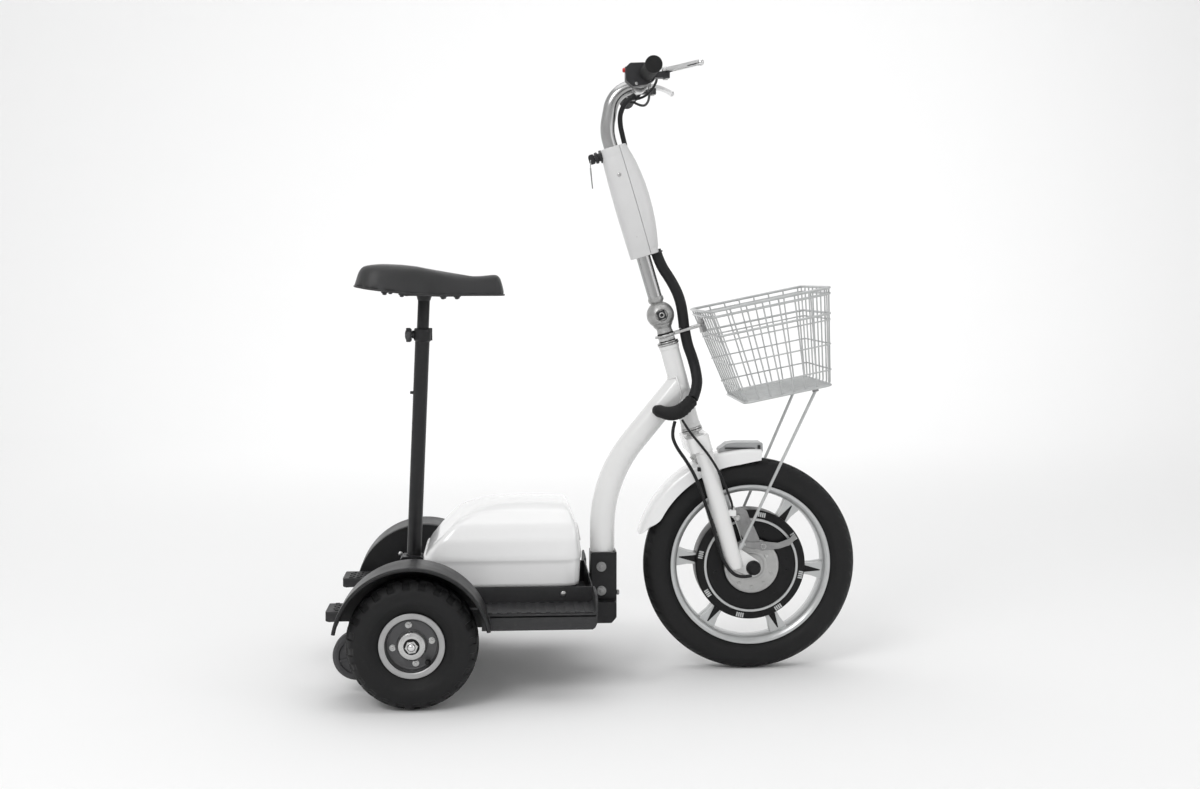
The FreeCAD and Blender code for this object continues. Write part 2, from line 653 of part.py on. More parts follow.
# two-part post cover: sections across the stem, (distance, back, front, half width)
SECTIONS = [(122.0, 26.0, 33.0, 25.0), (160.0, 26.5, 40.0, 29.0), (210.0, 27.0, 46.0, 33.0), (262.0, 26.5, 46.0, 33.0),
            (310.0, 25.0, 40.0, 29.0), (348.0, 23.0, 30.0, 25.0)]
across = STEM_TURN.multVec(vec(1, 0, 0))


def cover(inset, trim):
    wires = []
    for i, (t, back, front, half) in enumerate(SECTIONS):
        t = t + (trim if i == 0 else -trim if i == len(SECTIONS) - 1 else 0)
        c = PIVOT + stem_dir * t + across * ((front - back) / 2)
        a, b = (front + back) / 2 - inset, half - inset
        pts = []
        for k in range(32):
            w = 2 * math.pi * k / 32
            x = math.copysign(abs(math.cos(w)) ** 0.72, math.cos(w)) * a
            y = math.copysign(abs(math.sin(w)) ** 0.72, math.sin(w)) * b
            p = c + across * x
            pts.append(vec(p.x, y, p.z))
        wires.append(Part.makePolygon(pts + pts[:1]))
    return Part.makeLoft(wires, True, True)


shell_shape = cover(0.0, 0.0).cut(cover(2.5, 3.0))
bore_shape = Part.makeCylinder(num(D["stem_rad"]), 400, PIVOT + stem_dir * 60, stem_dir)
shell_shape = shell_shape.cut(bore_shape)
top_port = Part.makeCylinder(6.0, 40, PIVOT + stem_dir * 335 + across * 21.5, stem_dir)
low_port = Part.makeCylinder(num(D["loom_rad"]) + 0.5, 26, PIVOT + stem_dir * 108 + across * 27.5, stem_dir)
key_port = Part.makeCylinder(8.0, 30, PIVOT + stem_dir * 336 - across * 10, across * -1)
shell_shape = shell_shape.cut(top_port).cut(low_port).cut(key_port)
half_space = Part.makeBox(200, 200, 500, vec(0, -100, 0))
half_space.Placement = FreeCAD.Placement(PIVOT + across * 14.6, STEM_TURN)
half_space = Part.makeBox(200, 200, 500)
half_space.Placement = FreeCAD.Placement(PIVOT + across * 14.6 - vec(0, 100, 0), STEM_TURN)
sub("post_cover_front", raw(shell_shape.common(half_space).removeSplitter()))
sub("post_cover_rear", raw(shell_shape.cut(half_space).removeSplitter()))

# ignition lock on the back of the cover, with its key
key_base = PIVOT + stem_dir * 336
lock = cyl(8.0, 17.0, tuple(key_base - across * 15.5), FreeCAD.Rotation(vec(0, 0, 1), across * -1))
lock_face = cyl(10.5, 4.0, tuple(key_base - across * 32.5), FreeCAD.Rotation(vec(0, 0, 1), across * -1))
key_hole = cyl(3.05, 12.0, tuple(key_base - across * 26.0), FreeCAD.Rotation(vec(0, 0, 1), across * -1))
sub("key_switch", cut(fuse(lock, lock_face), key_hole))
key_stem = cyl(3.0, 15.0, tuple(key_base - across * 27.0), FreeCAD.Rotation(vec(0, 0, 1), across * -1))
key_bow = box(0, 12, 0, 3, 0, 20)
put(key_bow, tuple(key_base - across * 49.0 + vec(0, -1.5, 0) - stem_dir * 10), STEM_TURN)
sub("key", fuse(key_stem, key_bow))

# grips, control pod and push button
bx, bz = D["bar_x"], D["bar_z"]
sub("grip_left", fuse(cut(rod_y(D["grip_rad"], 180, 290, bx, bz), rod_y(D["bar_rad"], 179, 291, bx, bz)),
                      rod_y(D["grip_rad"], 288, 291, bx, bz)))
turn_bore = D["bar_rad"] + D["run_gap"]
sub("grip_right", fuse(cut(rod_y(D["grip_rad"], -290, -180, bx, bz), rod_y(turn_bore, -291, -179, bx, bz)),
                       rod_y(D["grip_rad"], -291, -288.5, bx, bz)))
pod = padded("XZ_Plane", [(402, 1166), (402, 1190), (410, 1198), (436, 1199), (455, 1194), (460, 1182), (456, 1166),
                          (442, 1158), (416, 1154)], 30.0, (0, -163.0, 0))
button_turn = FreeCAD.Rotation(vec(0, 1, 0), 90)
sub("control_pod", cut(pod, rod_y(D["bar_rad"], -190, -140, bx, bz), cyl(4.6, 14, (400, -163, 1186), button_turn)))
sub("power_button", cyl(4.5, 12, (397, -163, 1186), button_turn))

# brake perches and levers
perches, levers = [], {}
for name, side in SIDES:
    a, b = sorted((118.0 * side, 142.0 * side))
    c, d = sorted((114.0 * side, 136.0 * side))
    ring = cut(rod_y(16.0, a, b, bx, bz), rod_y(D["bar_rad"], a - 1, b + 1, bx, bz))
    lug = cut(box(457, 490, c, d, 1178, 1188), cyl(3.05, 20, (482, 126 * side, 1170)))
    perches.append(fuse(ring, lug))
    pts = [(474, 118), (486, 116), (494, 128), (512, 160), (530, 205), (538, 232), (530, 234), (521, 208), (502, 170),
           (484, 138), (474, 134)]
    blade = padded("XY_Plane", [(x, y * side) for x, y in pts], 7.0, (0, 0, 1188.5), mid=False)
    levers[name] = fuse(blade, cyl(9.0, 7.0, (482, 126 * side, 1188.5)), cyl(3.0, 13.0, (482, 126 * side, 1177.0)),
                        ball(6.0, (535, 236 * side, 1191.5)))
sub("brake_perches", group(*perches))
sub("brake_lever_right", levers["right"])
sub("brake_lever_left", levers["left"])

# ======================================================== cables
bundle = tube([(433, -21, 1156), (416, -21, 1146), (404, -14, 1122), (405.5, -4, 1097), (412, 0, 1072)], 5.0, note="bundle")
right_hose = tube([(466, -113.8, 1183), (468, -100, 1182), (470, -78, 1176), (462, -50, 1160), (446, -28, 1150), (434, -21, 1149)],
                  2.5, note="right_hose")
left_hose = tube([(466, 113.8, 1183), (468, 100, 1182), (472, 76, 1172), (466, 44, 1150), (451, 8, 1137), (433, -14, 1143)],
                 2.5, note="left_hose")
sub("control_cables", fuse(bundle, right_hose, left_hose))

lp = PIVOT + stem_dir * 128 + across * 27.5
lq = PIVOT + stem_dir * 100 + across * 27.5
sub("loom_upper", tube([tuple(lp), tuple(lq), (510, 0, 790), (525, 0, 760), (532.5, 0, 728), (535.5, 0, 697)], D["loom_rad"], note="loom_upper"))
sub("loom_lower", tube([(536, 0, 693.5), (541, 0, 666), (552, -1, 638), (559.5, -7, 608), (560.5, -25, 580), (549, -38.5, 559)],
                       D["loom_rad"], note="loom_lower"))
sub("cable_boot", tube([(545, -42, 551), (529, -49, 534), (505, -49, 526), (486, -41, 530), (478, -26.5, 532)], 14.0, share=0.42, note="cable_boot"))
sub("motor_cable", tube([(512, -50, 509), (504, -55, 488), (513, -62, 462), (532, -68, 436), (552, -68, 402), (571, -67, 350),
                         (588, -67, 300), (598, -69, 262), (611, -72, 226), (630, -76, 204), (652, -77, 201), (664, -76, 204)],
                        3.5, note="motor_cable"))
sub("brake_cable", fuse(
    tube([(526, -54, 512.5), (537, -66, 495), (556, -79, 472), (580, -82, 442), (600, -79, 408), (616, -69, 372), (627, -59.5, 345), (629, -58, 326)],
         2.5, note="brake_cable"),
    tube([(629, -58, 327), (633, -57, 312), (642, -55, 290), (648, -53.7, 268)], 1.0, note="brake_wire")))

# ======================================================== checks and export
doc.recompute()
for note, obj, length, rad in checks:
    want = math.pi * rad * rad * length
    print(note, "volume", round(obj.Shape.Volume), "expected", round(want))
bad = []
for obj in doc.Objects:
    if "Invalid" in obj.State or "Error" in obj.State:
        bad.append((obj.Name, obj.Label, obj.State))
names = set()
for obj in subs:
    shape = obj.Shape
    if shape.isNull() or not shape.isValid() or not shape.Solids:
        bad.append((obj.Name, obj.Label, "shape"))
    if obj.Label in names or len(obj.Label) > 59:
        bad.append((obj.Name, obj.Label, "label"))
    names.add(obj.Label)
if bad or len(subs) > 60:
    raise RuntimeError("%d sub-parts, failed: %s" % (len(subs), bad))
whole = FreeCAD.BoundBox()
for obj in subs:
    whole.add(obj.Shape.BoundBox)
print(len(subs), "sub-parts", whole)
os.makedirs("parts", exist_ok=True)
for obj in subs:
    obj.Shape.exportStep("parts/%s.step" % obj.Label)
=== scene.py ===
import math
import random

import bmesh
import bpy
from mathutils import Matrix, Vector, noise


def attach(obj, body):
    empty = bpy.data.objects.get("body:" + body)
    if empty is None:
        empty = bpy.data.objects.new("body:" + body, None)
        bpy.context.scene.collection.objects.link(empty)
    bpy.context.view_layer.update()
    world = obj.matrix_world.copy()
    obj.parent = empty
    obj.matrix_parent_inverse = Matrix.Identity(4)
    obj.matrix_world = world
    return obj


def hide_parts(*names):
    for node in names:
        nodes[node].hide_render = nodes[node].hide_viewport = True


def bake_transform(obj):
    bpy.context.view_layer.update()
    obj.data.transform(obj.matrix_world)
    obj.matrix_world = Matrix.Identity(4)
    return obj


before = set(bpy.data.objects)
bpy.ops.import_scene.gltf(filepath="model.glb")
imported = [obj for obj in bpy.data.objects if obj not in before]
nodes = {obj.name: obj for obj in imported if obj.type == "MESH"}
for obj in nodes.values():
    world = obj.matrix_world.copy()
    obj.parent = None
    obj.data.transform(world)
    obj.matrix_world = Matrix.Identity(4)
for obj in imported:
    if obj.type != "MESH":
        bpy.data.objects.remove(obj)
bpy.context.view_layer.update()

random.seed(7)
scene = bpy.context.scene
world_up = Vector((0, 0, 1))


# --------------------------------------------------------------- frame helpers
def P(x, y, z):
    """Drawing millimetres (x from the rear axle) to row metres."""
    return Vector(((x - 360.0) / 1000.0, y / 1000.0, z / 1000.0))


HEAD = Vector((550.5, 0.0, 495.3))
AX = Vector((-0.26776, 0.0, 0.96348))
ACROSS = Vector((0.96348, 0.0, 0.26776))


def sp(s, u=0.0, y=0.0):
    """Point at s along the steering axis and u ahead of it, in drawing millimetres."""
    p = HEAD + AX * s + ACROSS * u
    return Vector((p.x, y, p.z))


PIVOT = sp(236.0)
STEM_DIR = (Vector((378.0, 0.0, 1088.0)) - PIVOT).normalized()
STEM_ACROSS = Vector((STEM_DIR.z, 0.0, -STEM_DIR.x))
WHEEL = Vector((670.0, 0.0, 216.5))

# --------------------------------------------------------------- camera
psi, theta = 0.0666809, 0.0781403
cam_data = bpy.data.cameras.new("camera")
cam_data.lens = 44.844
cam_data.sensor_width = 36.0
cam_data.sensor_fit = "HORIZONTAL"
cam_data.clip_end = 100.0
cam = bpy.data.objects.new("camera", cam_data)
scene.collection.objects.link(cam)
fwd = Vector((math.sin(psi) * math.cos(theta), math.cos(psi) * math.cos(theta), -math.sin(theta)))
cam.location = (-0.19491, -3.0, 0.79787)
cam.rotation_euler = fwd.to_track_quat("-Z", "Y").to_euler()
scene.camera = cam


# --------------------------------------------------------------- materials
def principled(name):
    m = bpy.data.materials.new(name)
    m.use_nodes = True
    return m, m.node_tree, m.node_tree.nodes["Principled BSDF"]


def mat(name, base, rough=0.4, metal=0.0, vary=0.06, scale=18.0, rvary=0.06, bump=0.0, bscale=700.0, kind="NOISE",
        dirt=0.0, dirt_col=None, coat=0.0, coat_rough=0.05, ior=1.5, sheen=0.0, spec=0.5, aniso=0.0, stretch=None,
        bdist=0.0004):
    """Procedural finish: broad colour and roughness drift, fine bump, and dust or wear patches."""
    m, t, bsdf = principled(name)
    n, link = t.nodes, t.links
    co = n.new("ShaderNodeTexCoord")
    src = co.outputs["Object"]
    if stretch:
        mp = n.new("ShaderNodeMapping")
        mp.inputs["Scale"].default_value = stretch
        link.new(src, mp.inputs["Vector"])
        src = mp.outputs["Vector"]
    broad = n.new("ShaderNodeTexNoise")
    broad.inputs["Scale"].default_value = scale
    broad.inputs["Detail"].default_value = 6.0
    broad.inputs["Roughness"].default_value = 0.6
    link.new(src, broad.inputs["Vector"])
    ramp = n.new("ShaderNodeValToRGB")
    lo = [max(0.0, c * (1.0 - vary)) for c in base]
    hi = [min(1.0, c * (1.0 + vary)) for c in base]
    ramp.color_ramp.elements[0].position = 0.3
    ramp.color_ramp.elements[0].color = (*lo, 1)
    ramp.color_ramp.elements[1].position = 0.7
    ramp.color_ramp.elements[1].color = (*hi, 1)
    link.new(broad.outputs["Fac"], ramp.inputs["Fac"])
    colour = ramp.outputs["Color"]
    if dirt > 0.0:
        spots = n.new("ShaderNodeTexNoise")
        spots.inputs["Scale"].default_value = scale * 5.0
        spots.inputs["Detail"].default_value = 8.0
        spots.inputs["Roughness"].default_value = 0.7
        link.new(co.outputs["Object"], spots.inputs["Vector"])
        sr = n.new("ShaderNodeMapRange")
        sr.inputs["From Min"].default_value = 0.52
        sr.inputs["From Max"].default_value = 0.75
        sr.inputs["To Min"].default_value = 0.0
        sr.inputs["To Max"].default_value = dirt
        link.new(spots.outputs["Fac"], sr.inputs["Value"])
        mix = n.new("ShaderNodeMix")
        mix.data_type = "RGBA"
        link.new(sr.outputs["Result"], mix.inputs["Factor"])
        link.new(colour, mix.inputs["A"])
        d = dirt_col or [min(1.0, c * 1.6 + 0.05) for c in base]
        mix.inputs["B"].default_value = (*d, 1)
        colour = mix.outputs["Result"]
    link.new(colour, bsdf.inputs["Base Color"])
    rr = n.new("ShaderNodeMapRange")
    rr.inputs["From Min"].default_value = 0.3
    rr.inputs["From Max"].default_value = 0.7
    rr.inputs["To Min"].default_value = max(0.02, rough - rvary)
    rr.inputs["To Max"].default_value = min(1.0, rough + rvary)
    link.new(broad.outputs["Fac"], rr.inputs["Value"])
    link.new(rr.outputs["Result"], bsdf.inputs["Roughness"])
    if bump > 0.0:
        if kind == "VORONOI":
            fine = n.new("ShaderNodeTexVoronoi")
            fine.feature = "DISTANCE_TO_EDGE"
            out = "Distance"
        else:
            fine = n.new("ShaderNodeTexNoise")
            fine.inputs["Detail"].default_value = 3.0
            out = "Fac"
        fine.inputs["Scale"].default_value = bscale
        link.new(src, fine.inputs["Vector"])
        h = fine.outputs[out]
        if kind == "VORONOI":
            hr = n.new("ShaderNodeMapRange")
            hr.inputs["From Max"].default_value = 0.12
            hr.interpolation_type = "SMOOTHSTEP"
            link.new(h, hr.inputs["Value"])
            h = hr.outputs["Result"]
        b = n.new("ShaderNodeBump")
        b.inputs["Strength"].default_value = bump
        b.inputs["Distance"].default_value = bdist
        link.new(h, b.inputs["Height"])
        link.new(b.outputs["Normal"], bsdf.inputs["Normal"])
    bsdf.inputs["Metallic"].default_value = metal
    bsdf.inputs["IOR"].default_value = ior
    bsdf.inputs["Specular IOR Level"].default_value = spec
    bsdf.inputs["Coat Weight"].default_value = coat
    bsdf.inputs["Coat Roughness"].default_value = coat_rough
    bsdf.inputs["Sheen Weight"].default_value = sheen
    bsdf.inputs["Anisotropic"].default_value = aniso
    return m


M = {
    "white_paint": mat("white_paint", (0.79, 0.79, 0.785), 0.22, vary=0.02, scale=9, rvary=0.05, bump=0.06, bscale=420,
                       coat=0.6, coat_rough=0.04),
    "white_shell": mat("white_shell", (0.86, 0.86, 0.86), 0.20, vary=0.015, scale=7, rvary=0.05, bump=0.05, bscale=260,
                       coat=0.5, coat_rough=0.06),
    "grey_shell": mat("grey_shell", (0.66, 0.66, 0.66), 0.34, vary=0.03, scale=9, rvary=0.06, bump=0.10, bscale=900),
    "black_paint": mat("black_paint", (0.010, 0.010, 0.011), 0.36, vary=0.25, scale=25, rvary=0.1, bump=0.12,
                       bscale=1300, dirt=0.10, spec=0.3),
    "deck_black": mat("deck_black", (0.021, 0.021, 0.0225), 0.52, vary=0.25, scale=22, rvary=0.1, bump=0.35,
                      bscale=1500, dirt=0.3, dirt_col=(0.055, 0.053, 0.05)),
    "guard_black": mat("guard_black", (0.013, 0.013, 0.014), 0.40, vary=0.2, scale=16, rvary=0.08, bump=0.10,
                       bscale=1100, dirt=0.08, spec=0.34),
    "drum_black": mat("drum_black", (0.006, 0.006, 0.0065), 0.34, vary=0.2, scale=30, rvary=0.08, bump=0.10,
                      bscale=1500, dirt=0.05, dirt_col=(0.02, 0.02, 0.02), spec=0.22),
    "disc_grey": mat("disc_grey", (0.115, 0.115, 0.118), 0.46, 0.55, vary=0.10, scale=40, rvary=0.08, bump=0.25,
                     bscale=2000, dirt=0.25, dirt_col=(0.07, 0.07, 0.07)),
    "steel": mat("steel", (0.55, 0.55, 0.545), 0.30, 1.0, vary=0.10, scale=60, rvary=0.1, bump=0.12, bscale=1600,
                 dirt=0.2, dirt_col=(0.34, 0.335, 0.33)),
    "brushed": mat("brushed", (0.43, 0.43, 0.43), 0.25, 1.0, vary=0.06, scale=30, rvary=0.06, bump=0.12, bscale=900,
                   aniso=0.4, stretch=(1.0, 1.0, 0.06)),
    "chrome": mat("chrome", (0.72, 0.72, 0.72), 0.10, 1.0, vary=0.04, scale=50, rvary=0.05),
    "alloy": mat("alloy", (0.44, 0.44, 0.435), 0.38, 0.9, vary=0.09, scale=45, rvary=0.1, bump=0.35, bscale=1500,
                 dirt=0.2, dirt_col=(0.22, 0.22, 0.22)),
    "silver_paint": mat("silver_paint", (0.52, 0.53, 0.53), 0.34, 0.65, vary=0.06, scale=30, rvary=0.06, bump=0.15,
                        bscale=2600, coat=0.3, coat_rough=0.12),
    "rim_grey": mat("rim_grey", (0.40, 0.40, 0.40), 0.38, 0.7, vary=0.08, scale=40, rvary=0.08, bump=0.2, bscale=2200,
                    dirt=0.2, dirt_col=(0.25, 0.25, 0.25)),
    "forged": mat("forged", (0.30, 0.30, 0.30), 0.42, 0.9, vary=0.15, scale=60, rvary=0.1, bump=0.4, bscale=1300),
    "tyre": mat("tyre", (0.010, 0.010, 0.0105), 0.58, vary=0.25, scale=35, rvary=0.1, bump=0.30, bscale=1800,
                dirt=0.2, dirt_col=(0.03, 0.029, 0.028), spec=0.26),
    "rubber": mat("rubber", (0.011, 0.011, 0.0112), 0.62, vary=0.2, scale=30, rvary=0.08, bump=0.2, bscale=1500,
                  spec=0.26),
    "roller": mat("roller", (0.055, 0.055, 0.058), 0.55, vary=0.2, scale=30, rvary=0.1, bump=0.3, bscale=1500,
                  dirt=0.25, dirt_col=(0.10, 0.10, 0.095)),
    "sleeve": mat("sleeve", (0.011, 0.011, 0.012), 0.48, vary=0.2, scale=60, rvary=0.08, bump=0.25, bscale=2200, spec=0.28),
    "plastic": mat("plastic", (0.016, 0.016, 0.018), 0.40, vary=0.2, scale=20, rvary=0.08, bump=0.25, bscale=2000,
                   dirt=0.06),
    "lamp_grey": mat("lamp_grey", (0.36, 0.365, 0.37), 0.34, 0.35, vary=0.05, scale=30, rvary=0.05, bump=0.12,
                     bscale=1800, coat=0.2),
    "lens": mat("lens", (0.03, 0.03, 0.032), 0.08, vary=0.1, scale=40, rvary=0.03, coat=0.6, coat_rough=0.02),
    "red": mat("red", (0.55, 0.015, 0.012), 0.30, vary=0.1, scale=200, rvary=0.05, bump=0.08, bscale=2500, coat=0.3),
    "wire": mat("wire", (0.50, 0.51, 0.51), 0.36, 0.35, vary=0.08, scale=40, rvary=0.08, bump=0.15, bscale=1600,
                coat=0.25, coat_rough=0.15, dirt=0.12, dirt_col=(0.33, 0.33, 0.33)),
    "vinyl": mat("vinyl", (0.017, 0.017, 0.018), 0.40, vary=0.22, scale=14, rvary=0.08, bump=0.55, bscale=620,
                 kind="VORONOI", bdist=0.00025, sheen=0.04),
    "battery": mat("battery", (0.05, 0.055, 0.065), 0.5, vary=0.15, scale=20, rvary=0.08, bump=0.2, bscale=1200),
    "alloy_dark": mat("alloy_dark", (0.12, 0.12, 0.12), 0.45, 0.8, vary=0.15, scale=40, rvary=0.1, bump=0.3,
                      bscale=1300),
}


# --------------------------------------------------------------- mesh helpers
def finish_piece(ob, material, body, smooth=35.0, bevel=0.0, segs=2, subsurf=0, replaces=()):
    me = ob.data
    for m in (material if isinstance(material, (list, tuple)) else [material]):
        me.materials.append(M[m])
    if bevel > 0.0:
        b = ob.modifiers.new("edge", "BEVEL")
        b.width = bevel / 1000.0
        b.segments = segs
        b.limit_method = "ANGLE"
        b.angle_limit = math.radians(32)
        b.harden_normals = False
    if subsurf:
        s = ob.modifiers.new("round", "SUBSURF")
        s.levels = subsurf
        s.render_levels = subsurf
    for p in me.polygons:
        p.use_smooth = True
    if smooth and not subsurf:
        if bevel > 0.0:
            me.set_sharp_from_angle(angle=math.radians(60))
        else:
            me.set_sharp_from_angle(angle=math.radians(smooth))
    if body:
        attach(ob, body)
    if replaces:
        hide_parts(*replaces)
    return ob


class Build:
    """Collects closed forms in drawing millimetres into one mesh with material numbers."""

    def __init__(self):
        self.v, self.f, self.m = [], [], []

    def add(self, verts, faces, k=0):
        o = len(self.v)
        self.v += [P(*p) for p in verts]
        self.f += [[i + o for i in f] for f in faces]
        self.m += [k] * len(faces)
        return self

    def mesh(self, name):
        me = bpy.data.meshes.new(name)
        me.from_pydata([tuple(v) for v in self.v], [], self.f)
        for p, k in zip(me.polygons, self.m):
            p.material_index = k
        bm = bmesh.new()
        bm.from_mesh(me)
        bmesh.ops.recalc_face_normals(bm, faces=bm.faces)
        bm.to_mesh(me)
        bm.free()
        ob = bpy.data.objects.new(name, me)
        scene.collection.objects.link(ob)
        return ob

    # -- shapes
    def lathe(self, centre, axis, profile, seg=96, k=0, rfn=None, closed=True, up=None):
        """profile: (radius, distance along axis) loop; radius 0 ends are welded by the loop itself."""
        centre, axis = Vector(centre), Vector(axis).normalized()
        ref = Vector(up) if up else (Vector((0, 0, 1)) if abs(axis.z) < 0.9 else Vector((1, 0, 0)))
        u = (ref - axis * ref.dot(axis)).normalized()
        w = axis.cross(u)
        verts, faces = [], []
        n = len(profile)
        for i in range(seg):
            a = 2 * math.pi * i / seg
            d = u * math.cos(a) + w * math.sin(a)
            for j, (r, t) in enumerate(profile):
                rr = r + (rfn(i, j, a) if rfn else 0.0)
                verts.append(centre + axis * t + d * rr)
        last = n if closed else n - 1
        for i in range(seg):
            i2 = (i + 1) % seg
            for j in range(last):
                j2 = (j + 1) % n
                faces.append([i * n + j, i * n + j2, i2 * n + j2, i2 * n + j])
        return self.add(verts, faces, k)

    def solid_lathe(self, centre, axis, profile, seg=96, k=0, up=None):
        """Open profile from axis to axis: ends closed with fans."""
        centre, axis = Vector(centre), Vector(axis).normalized()
        ref = Vector(up) if up else (Vector((0, 0, 1)) if abs(axis.z) < 0.9 else Vector((1, 0, 0)))
        u = (ref - axis * ref.dot(axis)).normalized()
        w = axis.cross(u)
        prof = [p for p in profile if p[0] > 1e-6]
        verts, faces, n = [], [], len(prof)
        for i in range(seg):
            a = 2 * math.pi * i / seg
            d = u * math.cos(a) + w * math.sin(a)
            for r, t in prof:
                verts.append(centre + axis * t + d * r)
        for i in range(seg):
            i2 = (i + 1) % seg
            for j in range(n - 1):
                faces.append([i * n + j, i * n + j + 1, i2 * n + j + 1, i2 * n + j])
        o = len(verts)
        verts += [centre + axis * profile[0][1], centre + axis * profile[-1][1]]
        for i in range(seg):
            i2 = (i + 1) % seg
            faces.append([o, i * n, i2 * n])
            faces.append([o + 1, i2 * n + n - 1, i * n + n - 1])
        return self.add(verts, faces, k)

    def sweep(self, pts, r, seg=16, k=0, closed=False, oval=1.0, ends=True, ref=None):
        """Round section along points (drawing mm). r is a number or a list."""
        pts = [Vector(p) for p in pts]
        n = len(pts)
        tan = []
        for i in range(n):
            a = pts[(i - 1) % n] if closed or i > 0 else pts[i]
            b = pts[(i + 1) % n] if closed or i < n - 1 else pts[i]
            tan.append((b - a).normalized())
        ref = Vector(ref) if ref else (Vector((0, 1, 0)) if abs(tan[0].y) < 0.9 else Vector((1, 0, 0)))
        nrm = (ref - tan[0] * ref.dot(tan[0])).normalized()
        verts, faces = [], []
        for i in range(n):
            if i:
                nrm = (nrm - tan[i] * nrm.dot(tan[i])).normalized()
            bi = tan[i].cross(nrm)
            rr = r[i] if isinstance(r, (list, tuple)) else r
            for j in range(seg):
                a = 2 * math.pi * j / seg
                verts.append(pts[i] + nrm * (math.cos(a) * rr) + bi * (math.sin(a) * rr * oval))
        for i in range(n if closed else n - 1):
            i2 = (i + 1) % n
            for j in range(seg):
                j2 = (j + 1) % seg
                faces.append([i * seg + j, i * seg + j2, i2 * seg + j2, i2 * seg + j])
        if not closed and ends:
            faces.append([j for j in range(seg)][::-1])
            faces.append([(n - 1) * seg + j for j in range(seg)])
        return self.add(verts, faces, k)

    def prism(self, poly, lo, hi, place, k=0):
        """poly: 2-D loop; place(a, b, c) gives a drawing point; extruded in c from lo to hi."""
        n = len(poly)
        verts = [place(a, b, lo) for a, b in poly] + [place(a, b, hi) for a, b in poly]
        faces = [list(range(n))[::-1], [n + i for i in range(n)]]
        for i in range(n):
            j = (i + 1) % n
            faces.append([i, j, n + j, n + i])
        return self.add(verts, faces, k)

    def box(self, x0, x1, y0, y1, z0, z1, k=0):
        return self.prism([(x0, y0), (x1, y0), (x1, y1), (x0, y1)], z0, z1, lambda a, b, c: Vector((a, b, c)), k)


def arc_round(pts, r, n=5, closed=True):
    """Rounds the corners of a 2-D loop."""
    out = []
    m = len(pts)
    for i in range(m):
        p = Vector(pts[i])
        if not closed and i in (0, m - 1):
            out.append((p.x, p.y))
            continue
        a, b = Vector(pts[i - 1]), Vector(pts[(i + 1) % m])
        d1, d2 = (a - p), (b - p)
        l1, l2 = d1.length, d2.length
        if l1 < 1e-6 or l2 < 1e-6:
            out.append((p.x, p.y))
            continue
        d1, d2 = d1 / l1, d2 / l2
        ang = math.acos(max(-1, min(1, d1.dot(d2))))
        if ang > math.pi - 0.05:
            out.append((p.x, p.y))
            continue
        rr = r[i] if isinstance(r, (list, tuple)) else r
        cut = min(rr / math.tan(ang / 2), l1 * 0.48, l2 * 0.48)
        p1, p2 = p + d1 * cut, p + d2 * cut
        for k in range(n + 1):
            t = k / n
            q = p1 * (1 - t) ** 2 + p * 2 * t * (1 - t) + p2 * t ** 2
            out.append((q.x, q.y))
    return out


def nurbs(points, res=14, closed=False):
    """Points along a smooth NURBS line through the given control points (drawing mm)."""
    cu = bpy.data.curves.new("line", "CURVE")
    cu.dimensions = "3D"
    s = cu.splines.new("NURBS")
    s.points.add(len(points) - 1)
    for q, p in zip(s.points, points):
        q.co = (p[0], p[1], p[2], 1.0)
    s.order_u = 3
    s.use_endpoint_u = not closed
    s.use_cyclic_u = closed
    s.resolution_u = res
    ob = bpy.data.objects.new("line", cu)
    me = bpy.data.meshes.new_from_object(ob)
    out = [v.co.copy() for v in me.vertices]
    bpy.data.objects.remove(ob)
    bpy.data.curves.remove(cu)
    bpy.data.meshes.remove(me)
    return out


def fillet_path(pts, radii, step=4.0):
    """Straight runs joined by arcs, in 3-D, evenly sampled. For bent metal tube."""
    pts = [Vector(p) for p in pts]
    out = [pts[0]]
    for i in range(1, len(pts) - 1):
        a, p, b = pts[i - 1], pts[i], pts[i + 1]
        d1, d2 = (a - p).normalized(), (b - p).normalized()
        ang = math.acos(max(-1, min(1, d1.dot(d2))))
        cut = radii[i] / math.tan(ang / 2)
        c = p + (d1 + d2).normalized() * (radii[i] / math.sin(ang / 2))
        s, e = p + d1 * cut, p + d2 * cut
        v0, v1 = (s - c), (e - c)
        tot = v0.angle(v1)
        axis = v0.cross(v1).normalized()
        n = max(6, int(tot * radii[i] / step))
        for k in range(n + 1):
            out.append(c + Matrix.Rotation(tot * k / n, 3, axis) @ v0)
    out.append(pts[-1])
    full = [out[0]]
    for q in out[1:]:
        gap = (q - full[-1]).length
        if gap < 1e-4:
            continue
        n = max(1, int(gap / 25.0))
        base = full[-1].copy()
        for k in range(1, n + 1):
            full.append(base.lerp(q, k / n))
    return full


def hexagon(r, flat=0.0):
    return [(r * math.cos(math.radians(60 * i + flat)), r * math.sin(math.radians(60 * i + flat))) for i in range(6)]


Y_AXIS = (0, 1, 0)


def tyre_profile(bead, outer, half, n=44):
    """Outer skin from bead to bead as (radius, side) with a flag for tread depth; the caller adds the inner line."""
    mid = (bead + outer) / 2.0 + 2.0
    hr = outer - mid
    pts = []
    for i in range(n + 1):
        a = math.radians(-128 + 256.0 * i / n)
        c, s = math.cos(a), math.sin(a)
        r = mid + hr * math.copysign(abs(c) ** 0.82, c)
        t = half * math.copysign(abs(s) ** 0.88, s)
        pts.append((max(r, bead), t, math.degrees(a)))
    return pts


